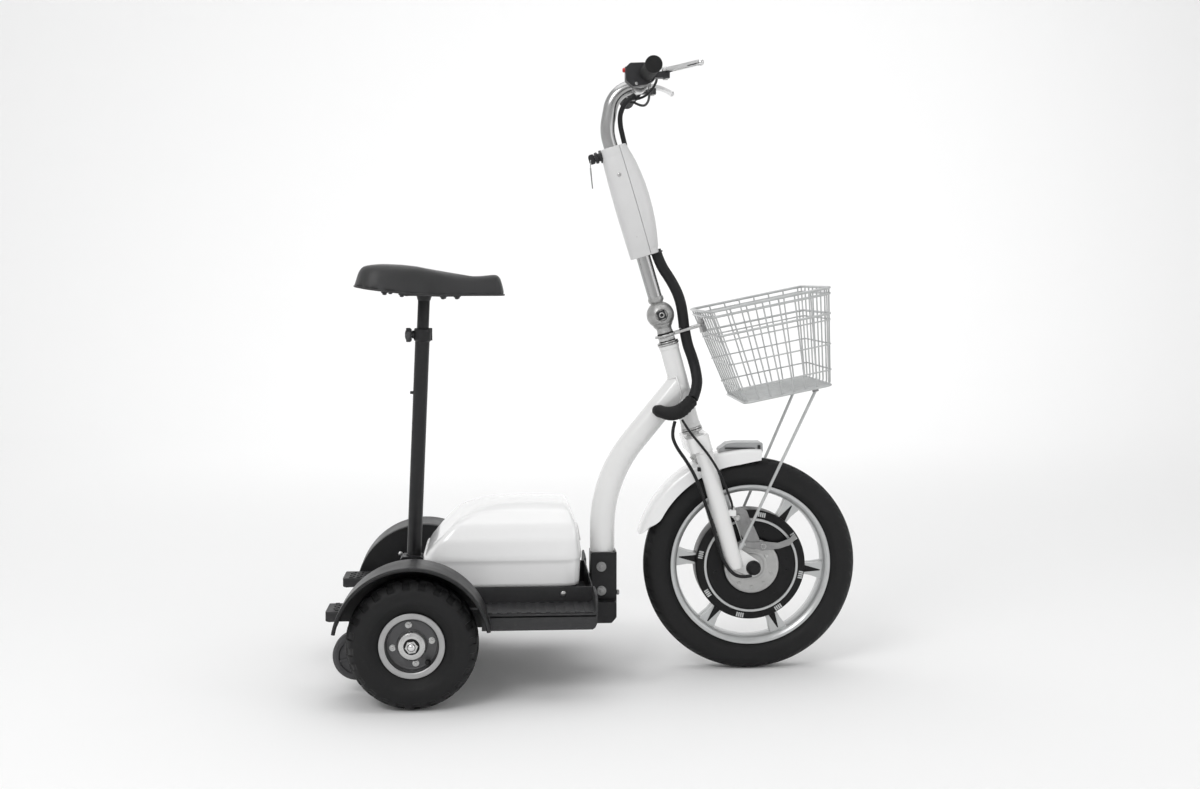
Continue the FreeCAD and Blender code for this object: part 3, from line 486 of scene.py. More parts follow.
# --------------------------------------------------------------- front wheel
def front_wheel():
    prof = tyre_profile(158.0, 216.5, 31.0, 60)
    ring = [(r, t) for r, t, a in prof] + [(157.6, 21.5), (157.6, 8), (157.6, -8), (157.6, -21.5)]
    angs = [a for r, t, a in prof] + [None] * 4

    def tread(i, j, a):
        g = angs[j]
        if g is None:
            return 0.0
        d = abs(g)
        if d < 4 or 19 < d < 23:
            return -1.6
        if 27 < d < 62:
            k = (i + int((d - 27) * 0.10) * 1 + (5 if g < 0 else 0)) % 10
            if k < 2:
                return -2.0 if d < 54 else -1.0
        if 64 < d < 67 or 96 < d < 98:
            return -0.5
        return 0.0

    b = Build()
    b.lathe(WHEEL, Y_AXIS, ring, 540, 0, tread)
    finish_piece(b.mesh("front_tyre_skin"), "tyre", "front_wheel", smooth=40, replaces=["front_tyre"])

    b = Build()
    felloe = arc_round([(151, -22), (154, -25), (158, -28), (163.5, -28.5), (163.5, -25.5), (159, -23), (156, -10), (156, 10),
                        (159, 23), (163.5, 25.5), (163.5, 28.5), (158, 28), (154, 25), (151, 22), (149.0, 12),
                        (148.0, 0), (149.0, -12)], 1.5, 3)
    b.lathe(WHEEL, Y_AXIS, felloe, 180, 0)
    for k in range(6):
        th = math.radians(60 * k - 24)
        d = Vector((math.sin(th), 0, math.cos(th)))
        e = Vector((math.cos(th), 0, -math.sin(th)))
        for side in (-1, 1):
            out = [(-10.5, 106), (10.5, 106), (12.5, 128), (18.5, 151), (-18.5, 151), (-12.5, 128)]
            lo, hi = (2.0, 15.0) if side > 0 else (-15.0, -2.0)
            b.prism(arc_round(out, 3.0, 3), lo, hi, lambda p, q, c: WHEEL + d * q + e * p + Vector((0, c, 0)), 0)
            tri = [(-8.0, 108), (8.0, 108), (1.0, 146), (-1.0, 146)]
            lo, hi = (14.0, 15.9) if side > 0 else (-15.9, -14.0)
            b.prism(arc_round(tri, 1.0, 2), lo, hi, lambda p, q, c: WHEEL + d * q + e * p + Vector((0, c, 0)), 1)
        b.prism([(-9.5, 106), (9.5, 106), (15.0, 151), (-15.0, 151)], -3.0, 3.0,
                lambda p, q, c: WHEEL + d * q + e * p + Vector((0, c, 0)), 0)
    # motor shell: black rings and drum
    shell = arc_round([(6.3, 24), (6.3, 41.5), (13.5, 41.5), (14, 35), (40, 33.5), (80, 31), (90, 30.5), (92, 31.8),
                       (96, 31.4), (97, 29.8), (108, 27.5), (112, 24), (112.5, 10), (112.5, -10), (112, -24.5),
                       (108, -27), (104, -26), (104, 24)], 0.8, 2)
    b.lathe(WHEEL, Y_AXIS, shell, 160, 1)
    # raised cast pads round the drum's edge, on one face
    for k in range(8):
        th = math.radians(45 * k + 12)
        d = Vector((math.sin(th), 0, math.cos(th)))
        e = Vector((math.cos(th), 0, -math.sin(th)))
        for off in (-6.2, -2.1, 2.1, 6.2):
            b.prism(arc_round([(off - 1.4, 99.5), (off + 1.4, 99.5), (off + 1.4, 109), (off - 1.4, 109)], 0.6, 2),
                    -30.6, -27.8, lambda p, q, c: WHEEL + d * q + e * p + Vector((0, c, 0)), 0)
    for k in range(12):
        th = math.radians(30 * k + 9)
        d = Vector((math.sin(th), 0, math.cos(th)))
        b.solid_lathe(WHEEL + d * 101.5 + Vector((0, 26.5, 0)), Y_AXIS,
                      [(0, 4.4), (1.6, 4.4), (3.2, 3.4), (3.4, 2.0), (3.4, 0), (0, 0)], 16, 2)
    # valve stem on the felloe
    v = math.radians(37)
    d = Vector((math.sin(v), 0, math.cos(v)))
    b.sweep([WHEEL + d * 152, WHEEL + d * 143 + Vector((0, -3, 0)), WHEEL + d * 134 + Vector((0, -8, 0)),
             WHEEL + d * 128 + Vector((0, -12, 0))], [3.4, 3.2, 2.8, 3.0], 14, 1)
    ob = b.mesh("front_wheel_casting")
    finish_piece(ob, ["silver_paint", "drum_black", "steel"], "front_wheel", bevel=0.7, segs=2,
                 replaces=["front_rim"])

    b = Build()
    cov = arc_round([(57, -30.5), (57, -33.6), (62, -34.3), (80, -33.6), (88.5, -32.6), (90, -31.6), (91.5, -32.9), (95.5, -32.3), (97, -30.6),
                     (104, -29.6), (109.5, -28.6), (111.6, -27), (98, -26.6)], 0.7, 2)
    b.lathe(WHEEL, Y_AXIS, cov, 160, 0)
    ringp = arc_round([(90.6, -32.0), (91.2, -34.4), (95.6, -33.9), (96.4, -31.0)], 0.6, 2)
    b.lathe(WHEEL, Y_AXIS, ringp, 160, 1)
    for k in range(6):
        th = math.radians(60 * k + 20)
        d = Vector((math.sin(th), 0, math.cos(th)))
        b.solid_lathe(WHEEL + d * 74 + Vector((0, -33.0, 0)), (0, -1, 0),
                      [(0, 2.0), (2.0, 2.0), (3.2, 1.2), (3.4, 0), (0, 0)], 16, 0)
    finish_piece(b.mesh("motor_side_cover"), ["drum_black", "silver_paint"], "front_wheel", smooth=35,
                 replaces=["motor_cover"])


front_wheel()


# --------------------------------------------------------------- fork, brake, hub fittings
def fork_group():
    b = Build()
    b.lathe(sp(0), AX, [(12.7, -16), (12.7, 198), (10.2, 198), (10.2, -16)], 48, 2)
    # crown: two bridged sleeves
    crown = arc_round([(-22, -75), (24, -75), (24, 75), (-22, 75)], 15, 6)
    b.prism(crown, -44, -14, lambda p, q, c: sp(c, p, q), 0)
    for side in (-1, 1):
        y = 58.0 * side
        path = [sp(s, 6.0, y) for s in (-12, -30, -80, -140, -200, -250, -285, -292)]
        b.sweep(path, [16.2, 17, 17, 17, 17, 17, 17, 15.5], 40, 0, ref=(0, 1, 0))
        b.lathe(sp(-46, 6.0, y), AX, arc_round([(16.5, -3), (18.6, -2.2), (18.6, 2.2), (16.5, 3)], 1.0, 2), 40, 0)
        drop = arc_round([(-4, -240), (14, -236), (30, -262), (54, -290), (54, -306), (44, -318), (30, -316), (4, -296),
                          (-8, -284)], 5.0, 4)
        lo, hi = sorted((55.0 * side, 61.0 * side))
        b.prism(drop, lo, hi, lambda p, q, c: sp(q, p, c), 0)
        # weld beads where the plate meets the leg
        b.sweep([sp(-292 + 4 * k, 6 + 15.5 * math.cos(0.35 * k), 61.5 * side) for k in range(8)], 1.3, 10, 0)
    # cable lug
    b.prism(arc_round([(606, 322), (634, 322), (634, 334), (606, 334)], 2.5, 3), -64, -52,
            lambda p, q, c: Vector((p, c, q)), 0)
    # dark cable clips at the leg's edges
    for t, u in ((-95, 25.0), (-78, -12.5)):
        q = sp(t, u, -60.0)
        b.prism(arc_round([(q.x - 3.4, q.z - 4.2), (q.x + 3.4, q.z - 4.2), (q.x + 3.4, q.z + 4.2), (q.x - 3.4, q.z + 4.2)], 1.2, 2),
                -66.0, -56.0, lambda a, c, h: Vector((a, h, c)), 1)
    finish_piece(b.mesh("fork_tubes"), ["white_paint", "black_paint", "steel"], "fork_assembly", bevel=1.2, segs=3,
                 replaces=["fork"])

    b = Build()
    # locknut, dark rings and washers above the head
    nut = [(16.8 * math.cos(2 * math.pi * i / 8), 16.8 * math.sin(2 * math.pi * i / 8)) for i in range(8)]
    U, V = ACROSS, Vector((0, 1, 0))
    b.prism(nut, 182.6, 190.6, lambda p, q, c: sp(c) + U * p + V * q, 0)
    b.lathe(sp(0), AX, arc_round([(12.8, 181.6), (17.0, 181.6), (17.0, 182.8), (12.8, 182.8)], 0.4, 2), 48, 1)
    b.lathe(sp(0), AX, arc_round([(12.8, 196.4), (16.8, 196.4), (16.8, 198.2), (12.8, 198.2)], 0.4, 2), 48, 1)
    for side in (-1, 1):
        c = WHEEL + Vector((0, 61.0 * side, 0))
        d = (0, side, 0)
        b.prism(hexagon(11.6, 12), 2.0, 9.0, lambda p, q, h: c + Vector((p, h * side, q)), 0)
        b.lathe(c, d, arc_round([(6, 0.1), (13, 0.1), (13, 1.9), (6, 1.9)], 0.5, 2), 40, 0)
        b.solid_lathe(c, d, [(0, 12.6), (3, 12.6), (5.0, 12.0), (6.0, 10.8), (6.0, 1.0), (0, 1.0)], 32, 0)
    # washers between the dropouts and the hub
    b.lathe(WHEEL, Y_AXIS, arc_round([(6.1, 43.5), (14, 43.5), (14, 55), (6.1, 55)], 1, 2), 48, 0)
    b.lathe(WHEEL, Y_AXIS, arc_round([(6.1, -40), (14, -40), (17.5, -46), (17.5, -48), (14, -55), (6.1, -55)], 1, 2), 48, 0)
    # rubber cap over the cable exit
    b.solid_lathe(WHEEL + Vector((0, -60.5, 0)), (0, -1, 0),
                  [(0, 15.5), (6, 15.4), (10, 14.6), (12.6, 12), (14.0, 8), (14.6, 3), (15, 0), (0, 0)], 40, 1)
    finish_piece(b.mesh("fork_nuts"), ["steel", "rubber"], "fork_assembly", bevel=0.6, segs=2,
                 replaces=["fork_hardware"])

    # brake back plate with its rings, boss and torque bracket
    b = Build()
    plate = arc_round([(6.2, -36), (6.2, -41.5), (17, -41.5), (19, -40.2), (24, -39.6), (26, -40.4), (29, -40.4), (31, -39.4), (48, -39.6), (51, -40.2),
                       (55.4, -38.8), (56.2, -35), (54, -34.6)], 0.6, 2)
    b.lathe(WHEEL, Y_AXIS, plate, 120, 0)
    tq = arc_round([(631, 329), (645, 335), (658, 331), (664, 316), (673, 298), (683, 276), (688, 262), (676, 250),
                    (660, 254), (655, 268), (645, 284), (636, 303)], 5, 4)
    b.prism(tq, -44.6, -40.2, lambda p, q, c: Vector((p, c, q)), 1)
    b.prism(arc_round([(641, 322), (653, 322), (669, 284), (676, 266), (668, 261), (660, 272), (646, 300)], 3, 3),
            -45.6, -44.0, lambda p, q, c: Vector((p, c, q)), 1)
    b.solid_lathe((638, -44.0, 316), (0, -1, 0), [(0, 6.5), (3.5, 6.5), (6.5, 5.5), (7, 4), (7, 0), (0, 0)], 28, 2)
    b.solid_lathe((700, -39.0, 236), (0, -1, 0), [(0, 2.5), (2, 2.5), (3.5, 1.8), (4, 0), (0, 0)], 20, 2)
    for a in (200, 235, 270, 305, 340):
        p = WHEEL + Vector((43 * math.cos(math.radians(a)), -39.6, 43 * math.sin(math.radians(a))))
        b.solid_lathe(p, (0, -1, 0), [(0, 1.0), (2.2, 1.0), (3.6, 0.6), (4.0, 0), (0, 0)], 20, 0)
    finish_piece(b.mesh("brake_backplate"), ["alloy", "forged", "steel"], "fork_assembly", bevel=0.7, segs=2,
                 replaces=["brake_plate"])

    b = Build()
    arm = arc_round([(757, 281), (744, 272), (722, 264), (704, 266), (698, 267), (690, 267), (672, 266), (646, 267.5), (641, 262), (645, 256.5),
                     (672, 254), (690, 249), (704, 250), (724, 252), (746, 259), (760, 273)], 3.5, 4)
    b.prism(arm, -48.0, -44.4, lambda p, q, c: Vector((p, c, q)), 0)
    b.solid_lathe((692, -52.0, 258), (0, 1, 0), [(0, 0), (4, 0), (5.2, 1.2), (5.2, 4), (9.5, 4.4), (9.5, 7.6), (5, 7.8), (5, 16), (0, 16)], 32, 0)
    b.prism(hexagon(6.2), -51.5, -48.0, lambda p, q, c: Vector((692 + p, c, 258 + q)), 1)
    b.solid_lathe((651, -54.0, 262), (0, 1, 0), [(0, 0), (3.5, 0), (4.6, 1), (4.6, 6), (5.6, 6.4), (5.6, 9.2), (0, 9.2)], 28, 1)
    finish_piece(b.mesh("brake_cam_arm"), ["forged", "steel"], "brake_cam", bevel=0.8, segs=2,
                 replaces=["brake_arm"])

    # front mudguard: U section with rolled lips, swept about the axle
    b = Build()
    g = 237.0
    half_prof = [(207.0, 38.0), (211, 38.4), (218, 38.2), (226, 37.6), (231, 36.0), (234.4, 32.0), (236.2, 24), (236.8, 12),
                 (237, 0)]
    outer = [(r, -t) for r, t in half_prof] + [(r, t) for r, t in half_prof[::-1][1:]]
    inner = [(r - (0 if r < 209 else 2.4), t * (0.93 if abs(t) > 1 else 1)) for r, t in outer][::-1]
    loop = outer + inner
    n = len(loop)
    verts, faces = [], []
    steps = 96
    a0, a1 = 85.0, 164.2
    for i in range(steps + 1):
        f = i / steps
        a = math.radians(a0 + (a1 - a0) * f)
        for r, t in loop:
            rr = r
            if r < 230:
                # skirt gets shallower to the front, deeper behind the leg, and pointed at the tail
                front = max(0.0, 1.0 - f / 0.16)
                tail = max(0.0, (f - 0.86) / 0.14)
                rr = 230 - (230 - r) * (1.0 - 0.35 * front ** 1.5 - 0.55 * tail ** 2)
            ang = a
            if f > 0.8:
                ang = a - math.radians(6.0) * ((f - 0.8) / 0.2) * max(0.0, min(1.0, (237.0 - r) / 26.0))
            p = WHEEL + Vector((math.cos(ang), 0, math.sin(ang))) * rr
            verts.append(Vector((p.x, t, p.z)))
    for i in range(steps):
        for j in range(n):
            j2 = (j + 1) % n
            faces.append([i * n + j, i * n + j2, (i + 1) * n + j2, (i + 1) * n + j])
    faces.append(list(range(n)))
    faces.append([steps * n + j for j in range(n)][::-1])
    b.add(verts, faces, 0)
    for y in (-30, 30):
        b.sweep([sp(-62, -14, y), sp(-78, -6, y), sp(-90, -2, y)], 3.0, 12, 1)
    finish_piece(b.mesh("front_mudguard"), ["white_shell", "steel"], "fork_assembly", smooth=50,
                 replaces=["front_fender"])

    # lamp: silver wedge housing with a dark slot and square lens
    b = Build()
    side = arc_round([(604, 446), (606, 452), (622, 463.5), (640, 465.5), (692, 465), (694, 462), (693.5, 447), (690, 441.5)],
                     2.5, 3)
    b.prism(side, -23.0, 23.0, lambda p, q, c: Vector((p, c * (0.72 + 0.28 * min(1.0, max(0.0, (p - 604) / 40.0))), q)), 0)
    b.prism(arc_round([(616, 452.5), (618, 455.0), (676, 454.6), (680, 452.0)], 1.0, 2), -23.8, 23.8,
            lambda p, q, c: Vector((p, c, q)), 1)
    b.prism(arc_round([(-16, 446), (16, 446), (16, 461), (-16, 461)], 3, 4), 692.0, 695.2,
            lambda p, q, c: Vector((c, p, q)), 2)
    b.prism(arc_round([(-19, 443), (19, 443), (19, 463.5), (-19, 463.5)], 4, 4), 691.0, 693.8,
            lambda p, q, c: Vector((c, p, q)), 1)
    b.prism(arc_round([(683, 448), (689, 448), (689, 460), (683, 460)], 1.4, 3), -24.2, 24.2,
            lambda p, q, c: Vector((p, c, q)), 1)
    finish_piece(b.mesh("head_lamp"), ["lamp_grey", "plastic", "lens"], "fork_assembly", bevel=0.9, segs=3,
                 replaces=["front_lamp"])


fork_group()


# --------------------------------------------------------------- chassis
def chassis():
    b = Build()
    path = fillet_path([(370, 0, 112), (370, 0, 392), (527.5, 0, 584.6)], [0, 280.0, 0], 7.0)
    b.sweep(path, 25.0, 56, 0)
    # weld bead where the tube meets the head
    for k in range(1):
        ring = []
        for i in range(72):
            a = 2 * math.pi * i / 72
            base = Vector((527.5, 0, 584.6))
            d = (Vector((527.5, 0, 584.6)) - Vector((450, 0, 490))).normalized()
            u = Vector((0, 1, 0))
            w = d.cross(u)
            q = base + u * (25.6 * math.cos(a)) + w * (25.6 * math.sin(a))
            axis_s = (q - HEAD).dot(AX)
            foot = HEAD + AX * axis_s
            back = 19.2 ** 2 - q.y ** 2
            u_here = (Vector((q.x, 0, q.z)) - Vector((foot.x, 0, foot.z))).dot(ACROSS)
            want = -math.sqrt(back) if back > 0 else -4.0
            move = (want - u_here) / d.dot(ACROSS)
            q = q + d * max(-26.0, min(26.0, move))
            ring.append(q + Vector((0, 0, 0.25 * math.sin(9 * a))))
        b.sweep(ring, 2.2, 10, 0, closed=True)
    finish_piece(b.mesh("main_tube"), "white_paint", "chassis", smooth=45, replaces=["down_tube"])

    b = Build()
    b.lathe(sp(0), AX, arc_round([(16.2, 0), (20.2, 0.0), (20.4, 6.0), (19.2, 9.0), (19.2, 164), (20.4, 167), (20.2, 173), (16.2, 173)],
                                 1.2, 3), 64, 0)
    finish_piece(b.mesh("head_sleeve"), "white_paint", "chassis", smooth=40, replaces=["head_tube"])

    b = Build()
    for lo, hi in ((-10, 0), (173, 181)):
        b.lathe(sp(0), AX, arc_round([(12.9, lo), (20.5, lo), (22.0, lo + 2), (22.0, lo + 4.4), (20.4, lo + 5.0), (20.4, lo + 5.8), (21.6, lo + 6.4),
                                      (21.0, hi), (12.9, hi)], 0.6, 2), 72, 0)
        b.lathe(sp(0), AX, arc_round([(20.2, lo + 4.7), (20.9, lo + 4.7), (20.9, lo + 6.0), (20.2, lo + 6.0)], 0.2, 1), 72, 1)
    finish_piece(b.mesh("bearing_cups"), ["steel", "black_paint"], "chassis", smooth=35, replaces=["headset_cups"])

    # folded steel bracket round the foot of the tube
    b = Build()
    plate = arc_round([(346, 246), (396, 246), (397, 244), (397, 119), (385, 107), (346, 107)], [4, 3, 2, 6, 6, 3], 4)
    for y0, y1 in ((-31.5, -26), (26, 31.5)):
        b.prism(plate, y0, y1, lambda p, q, c: Vector((p, c, q)), 0)
    b.prism(arc_round([(345, -31), (349, -31), (349, 31), (345, 31)], 1, 2), 107, 244, lambda p, q, c: Vector((p, q, c)), 0)
    b.prism(arc_round([(393, -31.4), (397, -31.4), (397, 31.4), (393, 31.4)], 1, 2), 119, 246.5, lambda p, q, c: Vector((p, q, c)), 0)
    foot = arc_round([(346, 150), (395, 150), (395, 119), (385, 107.5), (346, 107.5)], [2, 4, 5, 5, 2], 3)
    for y0, y1 in ((-58, -31.2), (31.2, 58)):
        b.prism(foot, y0, y1, lambda p, q, c: Vector((p, c, q)), 0)
    b.prism(foot, -31.0, 31.0, lambda p, q, c: Vector((p, c, q)), 0)
    finish_piece(b.mesh("foot_bracket"), "black_paint", "chassis", bevel=1.4, segs=3, replaces=["front_bracket"])

    # bolts, screws, hub nuts, knob
    b = Build()
    for side in (-1, 1):
        for z in (217, 168):
            c = Vector((366, side * 31.5, z))
            b.lathe(c, (0, side, 0), arc_round([(3, 0), (10, 0), (10, 1.4), (3, 1.4)], 0.4, 2), 32, 0)
            b.prism(hexagon(8.4, 15), 1.2, 5.4, lambda p, q, h: c + Vector((p, h * side, q)), 0)
            b.solid_lathe(c, (0, side, 0), [(0, 7.2), (3.4, 7.0), (4.4, 6.0), (4.4, 1), (0, 1)], 24, 0)
        c = Vector((0, 289.0 * side, 123))
        b.lathe(c, (0, side, 0), arc_round([(8, -1.0), (15, -1.0), (15, 1.0), (8, 1.0)], 0.5, 2), 40, 1)
        b.prism(hexagon(12.0, 8), 0.8, 6.2, lambda p, q, h: c + Vector((p, h * side, q)), 1)
        b.solid_lathe(c, (0, side, 0), [(0, 12.0), (2.6, 11.8), (5.4, 10.4), (7.4, 8.4), (8.4, 5.5), (8.4, 1), (0, 1)], 36, 2)
        for x in (285, 60):
            c = Vector((x, side * 137.0, 185))
            b.solid_lathe(c, (0, side, 0), [(0, 2.4), (3.0, 2.3), (5.2, 1.4), (6.0, 0.2), (6.0, -0.6), (0, -0.6)], 28, 1)
            b.box(x - 3.6, x + 3.6, *sorted((side * 139.2, side * 139.6)), 184.4, 185.6, 0)
        c = Vector((-27, side * 24.0, 225))
        b.solid_lathe(c, (0, side, 0), [(0, 4.6), (3.6, 4.3), (6.6, 2.9), (8.4, 0.9), (8.6, -0.2), (0, -0.2)], 32, 2)
    b.solid_lathe((396, 0, 158), (1, 0, 0), [(0, 9), (3, 8.8), (5.2, 7.4), (5.6, 4.2), (4, 3.4), (3.4, 0), (0, 0)], 28, 0)
    finish_piece(b.mesh("bolts_and_nuts"), ["forged", "steel", "chrome"], "chassis", bevel=0.35, segs=2,
                 replaces=["chassis_fasteners"])

    # body cover
    side = arc_round([(13, 250), (22, 266), (42, 290), (82, 328), (123, 346), (163, 355.5), (203, 359.5), (250, 358.5), (288, 355.5),
                      (299, 345), (316, 304), (322.5, 262)], [8, 14, 30, 50, 60, 60, 60, 60, 10, 10, 30, 10], 5, closed=False)
    cross = arc_round([(-136, 258), (-131.5, 290), (-119, 318), (-96, 341), (-62, 355), (0, 361), (62, 355), (96, 341),
                       (119, 318), (131.5, 290), (136, 258)], [8, 20, 24, 30, 40, 90, 40, 30, 24, 20, 8], 5, closed=False)

    def resample(pts, n):
        pts = [Vector((a, c)) for a, c in pts]
        d = [0.0]
        for p, q in zip(pts, pts[1:]):
            d.append(d[-1] + (q - p).length)
        out = []
        k = 0
        for i in range(n + 1):
            t = d[-1] * i / n
            while k < len(pts) - 2 and d[k + 1] < t:
                k += 1
            f = (t - d[k]) / max(1e-9, d[k + 1] - d[k])
            out.append(pts[k].lerp(pts[k + 1], max(0, min(1, f))))
        return out

    su, cv = resample(side, 84), resample(cross, 84)
    nu, nv = len(su), len(cv)

    def smin(a, c, k):
        h = max(0.0, min(1.0, 0.5 + 0.5 * (c - a) / k))
        return c * (1 - h) + a * h - k * h * (1 - h)

    x_lo, x_hi = 13.0, 322.5
    cx, hx = (x_lo + x_hi) / 2, (x_hi - x_lo) / 2

    def squirc(x, y):
        p, q = (x - cx) / hx, y / 136.0
        p, q = max(-1, min(1, p)), max(-1, min(1, q))
        return cx + hx * p * math.sqrt(1 - 0.16 * abs(q) ** 10), 136.0 * q * math.sqrt(1 - 0.16 * abs(p) ** 10)

    verts, faces = [], []
    for i, s in enumerate(su):
        for j, c in enumerate(cv):
            z = smin(s.y, c.y, 13.0)
            x, y = squirc(s.x, c.x)
            verts.append(Vector((x, y, max(z, 250.0))))
    for i in range(nu - 1):
        for j in range(nv - 1):
            faces.append([i * nv + j, i * nv + j + 1, (i + 1) * nv + j + 1, (i + 1) * nv + j])
    rim = [(i, 0) for i in range(nu)] + [(nu - 1, j) for j in range(1, nv)] + [(i, nv - 1) for i in range(nu - 2, -1, -1)] + \
          [(0, j) for j in range(nv - 2, 0, -1)]
    last = [i * nv + j for i, j in rim]
    m = len(rim)
    rings = [(252.5, 0.0), (249.5, 0.4), (247.5, 1.4), (240, 1.9), (222, 2.6), (206, 3.2), (199.3, 3.4)]
    for z, inset in rings:
        new = []
        for i, j in rim:
            v = verts[i * nv + j]
            x, y = v.x, v.y
            dx, dy = (x - cx) / hx, y / 136.0
            l = math.hypot(dx, dy)
            ex = inset * (1 if abs(dx) > abs(dy) * 0.98 else 0) * math.copysign(1, dx)
            ey = inset * (1 if abs(dy) > 0.9 else abs(dy) ** 4) * math.copysign(1, dy)
            if dx < -0.93:
                ex -= (249.0 - min(249.0, z)) * 0.16
            new.append(len(verts))
            verts.append(Vector((x - ex, y - ey, z)))
        for k in range(m):
            k2 = (k + 1) % m
            faces.append([last[k], last[k2], new[k2], new[k]])
        last = new
    b = Build()
    b.add(verts, faces, 0)
    ob = b.mesh("body_shell")
    so = ob.modifiers.new("wall", "SOLIDIFY")
    so.thickness = 0.0024
    so.offset = -1.0
    finish_piece(ob, "white_shell", "chassis", smooth=50, replaces=["body_cover"])
    # charge-port cap at the front of the cover
    b = Build()
    b.prism(arc_round([(-22, 268), (22, 268), (20, 300), (-20, 300)], 6, 4), 0, 7.5,
            lambda p, q, c: Vector((312 + c + (300 - q) * 0.18, p, q)), 0)
    finish_piece(b.mesh("port_cap"), "grey_shell", "chassis", bevel=2.0, segs=3)

    # tray: folded lip and flange with real thickness
    b = Build()
    for s in (-1, 1):
        y0, y1 = sorted((s * 134.0, s * 137.0))
        b.box(20, 343, y0, y1, 152, 199, 0)
    b.box(20, 23, -137, 137, 152, 199, 0)
    b.box(340, 343, -137, 137, 152, 199, 0)
    b.box(20, 343, -137, 137, 152, 155, 0)
    b.prism(arc_round([(-95, -118), (20, -118), (20, 118), (-95, 118)], 5, 3), 152, 168, lambda p, q, c: Vector((p, q, c)), 0)
    for y in (-80, -50, 50, 80):
        b.prism(arc_round([(-88, y - 6), (-30, y - 6), (-30, y + 6), (-88, y + 6)], 5, 3), 167.2, 169.2, lambda p, q, c: Vector((p, q, c)), 0)
    finish_piece(b.mesh("battery_tray_shell"), "deck_black", "chassis", bevel=1.2, segs=2, replaces=["deck_tray"])

    # footboards
    for name, s in (("right", -1), ("left", 1)):
        b = Build()
        plan = arc_round([(-166.5, 120), (18, 120), (18, 138), (345, 138), (345, 244), (130, 244), (127, 196), (-166.5, 196)],
                         [3, 2, 2, 3, 3, 14, 8, 3], 4)
        b.prism([(a, c * s) for a, c in plan], 164, 169.4, lambda p, q, c: Vector((p, q, c)), 0)
        # ribs across the board
        for k in range(11):
            x = 138 + 18.4 * k
            b.prism(arc_round([(x, 146), (x + 9.0, 146), (x + 9.0, 232), (x, 232)], 3.5, 4), 169.0, 171.2,
                    lambda p, q, c: Vector((p, q * s, c)), 1)
        for y in (141.5, 236.5):
            b.prism(arc_round([(132, y - 1.5), (338, y - 1.5), (338, y + 1.5), (132, y + 1.5)], 1.2, 2), 169.0, 171.0,
                    lambda p, q, c: Vector((p, q * s, c)), 1)
        # studs on the rear part
        for i in range(13):
            for j in range(6):
                x, y = -150 + 15.0 * i + (3.5 if j % 2 else 0), 127.5 + 11.0 * j
                if x > 35 and y < 150:
                    continue
                b.prism(arc_round([(x - 4, y - 3), (x + 4, y - 3), (x + 4, y + 3), (x - 4, y + 3)], 1.6, 2), 169.0, 171.4,
                        lambda p, q, c: Vector((p, q * s, c)), 1)
        # outer lip, folded down, with a return at its foot
        lip = arc_round([(244, 169), (244, 141), (241, 138.6), (237, 138.6), (237, 141.2), (240, 141.8), (240.4, 164), (238, 166)],
                        1.4, 3)
        n = len(lip)
        verts, faces = [], []
        xs = [128, 132, 200, 270, 336, 341, 344.5]
        rise = [0, 0, 0, 0, 0, 4, 12]
        for x, up in zip(xs, rise):
            for y, z in lip:
                verts.append(Vector((x, y * s, z + (up if z < 160 else 0))))
        for i in range(len(xs) - 1):
            for j in range(n):
                j2 = (j + 1) % n
                faces.append([i * n + j, i * n + j2, (i + 1) * n + j2, (i + 1) * n + j])
        faces.append(list(range(n)))
        faces.append([(len(xs) - 1) * n + j for j in range(n)][::-1])
        b.add(verts, faces, 0)
        # front curl
        curl = arc_round([(334, 165), (340, 165), (345.4, 171), (345.8, 203), (344, 205), (341, 203), (340.4, 174), (337, 170.6), (334, 169.4)],
                         [0.5, 6, 5, 1.4, 1, 1.2, 4, 3, 0.5], 4)
        n = len(curl)
        verts, faces = [], []
        ys = [139, 146, 170, 200, 226, 236, 241, 243.6]
        drop = [12, 3, 0, 0, 0, 3, 9, 20]
        for y, dn in zip(ys, drop):
            for x, z in curl:
                verts.append(Vector((x, y * s, z - (dn if z > 180 else 0))))
        for i in range(len(ys) - 1):
            for j in range(n):
                j2 = (j + 1) % n
                faces.append([i * n + j, i * n + j2, (i + 1) * n + j2, (i + 1) * n + j])
        faces.append(list(range(n)))
        faces.append([(len(ys) - 1) * n + j for j in range(n)][::-1])
        b.add(verts, faces, 0)
        # rear lip
        rl = arc_round([(-160, 169), (-164, 169), (-166.3, 165), (-166.4, 152), (-163, 150.2), (-161.6, 152), (-161.6, 164), (-160, 165)],
                       [0.5, 2, 3, 2, 1.2, 1, 2, 0.5], 3)
        b.prism([(a, c) for a, c in rl], 122 * s, 195 * s, lambda p, q, c: Vector((p, c, q)), 0)
        gus = arc_round([(-163, 168.5), (-165, 152), (-160, 149.5), (-126, 151.5), (-98, 161), (-96, 168.5)], 2.5, 3)
        for y in (122.2, 192.4):
            b.prism(gus, *sorted((y * s, (y + 2.4) * s)), lambda p, q, c: Vector((p, c, q)), 0)
        finish_piece(b.mesh("footboard_" + name), ["deck_black", "deck_black"], "chassis", bevel=0.7, segs=2,
                     replaces=["running_board_" + name])

